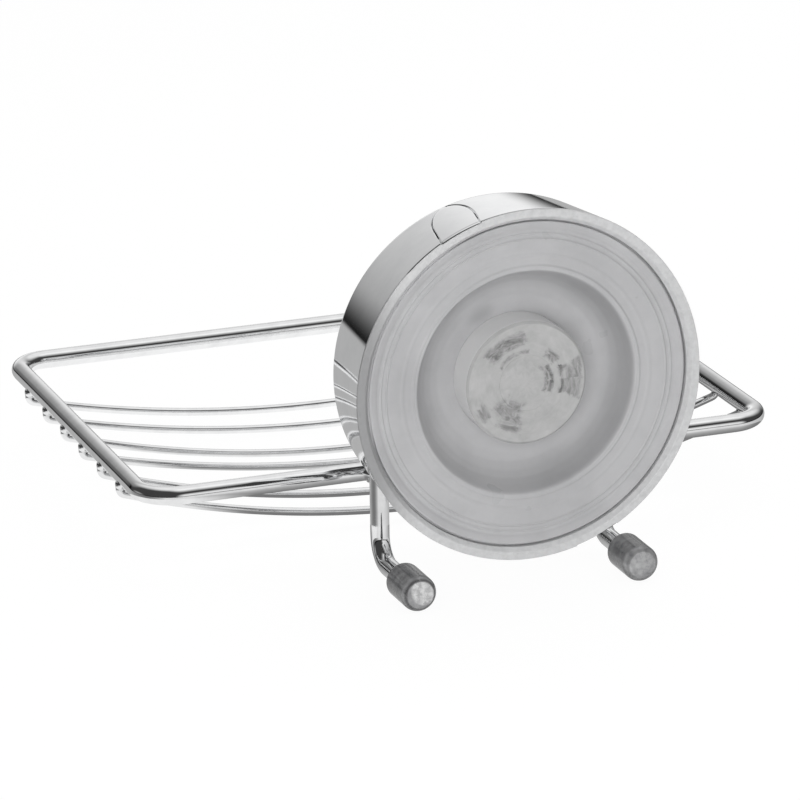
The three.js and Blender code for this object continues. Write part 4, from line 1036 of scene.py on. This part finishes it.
def makeFloor():
    points, faces = turned([[radius, 0] for radius in floor["rings"]])
    flat = np.stack([points[:, 0], points[:, 2], np.full(len(points), floor["z"])], -1)
    sheet = bpy.data.materials.new("studioFloor")
    sheet.use_nodes = True
    kit = NodeKit(sheet.node_tree)
    kit.tree.nodes.clear()
    calc, rays = kit.calc, kit.add("LightPath").outputs
    x, y, _ = kit.parts(kit.add("TexCoord").outputs["Object"])

    def ramp(axis, fade, share=1.0):
        return kit.ramp(axis, fade[0] * mm, fade[1] * mm, 0.0, share)

    def shader(kind, **inputs):
        return kit.add(kind, {name.capitalize(): value for name, value in inputs.items()}).outputs[0]

    def either(factor, first, second):
        return kit.add("MixShader", {0: factor, 1: first, 2: second}).outputs[0]

    def grey(value):
        return value, value, value, 1

    # painted shadow for the metal's reflections: grey near the housing, white where this mask is 1
    white = calc("MAXIMUM", ramp(y, floor["behindFade"], floor["behindShare"]),
                 ramp(x, floor["leftFade"], floor["leftShare"]))
    white = calc("MAXIMUM", white, kit.times(ramp(y, floor["aheadFade"]), ramp(x, floor["rightFade"])))
    tone = kit.line(white, 0.0, 1.0, floor["paintedShadowGrey"], floor["farWhite"])
    clear = shader("BsdfTransparent")
    glossy = either(calc("GREATER_THAN", rays["Ray Length"], floor["near"]),
                    shader("Emission", color=grey(1), strength=tone), clear)
    rest = either(rays["Is Glossy Ray"], shader("BsdfDiffuse", color=grey(floor["bounce"])), glossy)
    shown = kit.add("AddShader", {0: shader("Emission", color=grey(1), strength=floor["glow"]),
                                  1: shader("BsdfDiffuse", color=grey(floor["shadowed"]))}).outputs[0]
    seen = calc("ADD", rays["Is Camera Ray"], rays["Is Transmission Ray"], clamp=True)
    under = kit.add("NewGeometry").outputs["Backfacing"]
    kit.add("OutputMaterial", {"Surface": either(under, either(seen, rest, shown), clear)})
    if profileArea(flat[faces[0][0]][:, :2]) < 0:
        faces = [faceList[:, ::-1] for faceList in faces]
    makeObject("studioFloor", flat, faces, sheet)


makeFloor()
print("floor made")

# Lamps: [name, direction, distance in metres, width, strength in watts]; the metal does not see them
lamps = [["keyLamp", (6, 158), 0.6, 0.5, 2.42], ["overheadLamp", (60, -40), 0.6, 0.6, 1.0]]
lampTarget = Vector((0, -0.04, -0.01))
for name, heading, distance, width, watts in lamps:
    data = bpy.data.lights.new(name, "AREA")
    data.shape, data.size, data.energy = "DISK", width, watts
    lamp = bpy.data.objects.new(name, data)
    bpy.context.scene.collection.objects.link(lamp)
    towards = Vector(direction(*heading))
    lamp.location = lampTarget + towards * distance
    lamp.rotation_euler = towards.to_track_quat("Z", "Y").to_euler()
    lamp.visible_glossy = lamp.visible_camera = lamp.visible_transmission = False
print("lamps made")

# Camera: a long lens from behind the wall's plane, above the suction side
view = dict(azimuth=160.29, elevation=17.85, roll=-0.99, distance=1677.87, target=(19.12, -30.0, -9.36),
            lens=332.93, sensor=36.0, shiftX=-0.00566, shiftY=-0.00284, clipEnd=20)


def makeCamera():
    around, high, roll = (math.radians(value) for value in pick(view, "azimuth elevation roll"))
    back = Vector((math.sin(around) * math.cos(high), -math.cos(around) * math.cos(high), math.sin(high)))
    levelRight = Vector((math.cos(around), math.sin(around), 0))
    levelUp = back.cross(levelRight)
    right = levelRight * math.cos(roll) + levelUp * math.sin(roll)
    upward = levelUp * math.cos(roll) - levelRight * math.sin(roll)
    data = bpy.data.cameras.new("camera")
    data.lens, data.sensor_width, data.shift_x, data.shift_y, data.clip_end = pick(
        view, "lens sensor shiftX shiftY clipEnd")
    camera = bpy.data.objects.new("camera", data)
    bpy.context.scene.collection.objects.link(camera)
    turn = Matrix((right, upward, back)).transposed().to_4x4()
    camera.matrix_world = Matrix.Translation((Vector(view["target"]) + back * view["distance"]) * mm) @ turn
    bpy.context.scene.camera = camera


makeCamera()
bpy.context.scene.view_settings.view_transform = "Standard"
print("camera made")
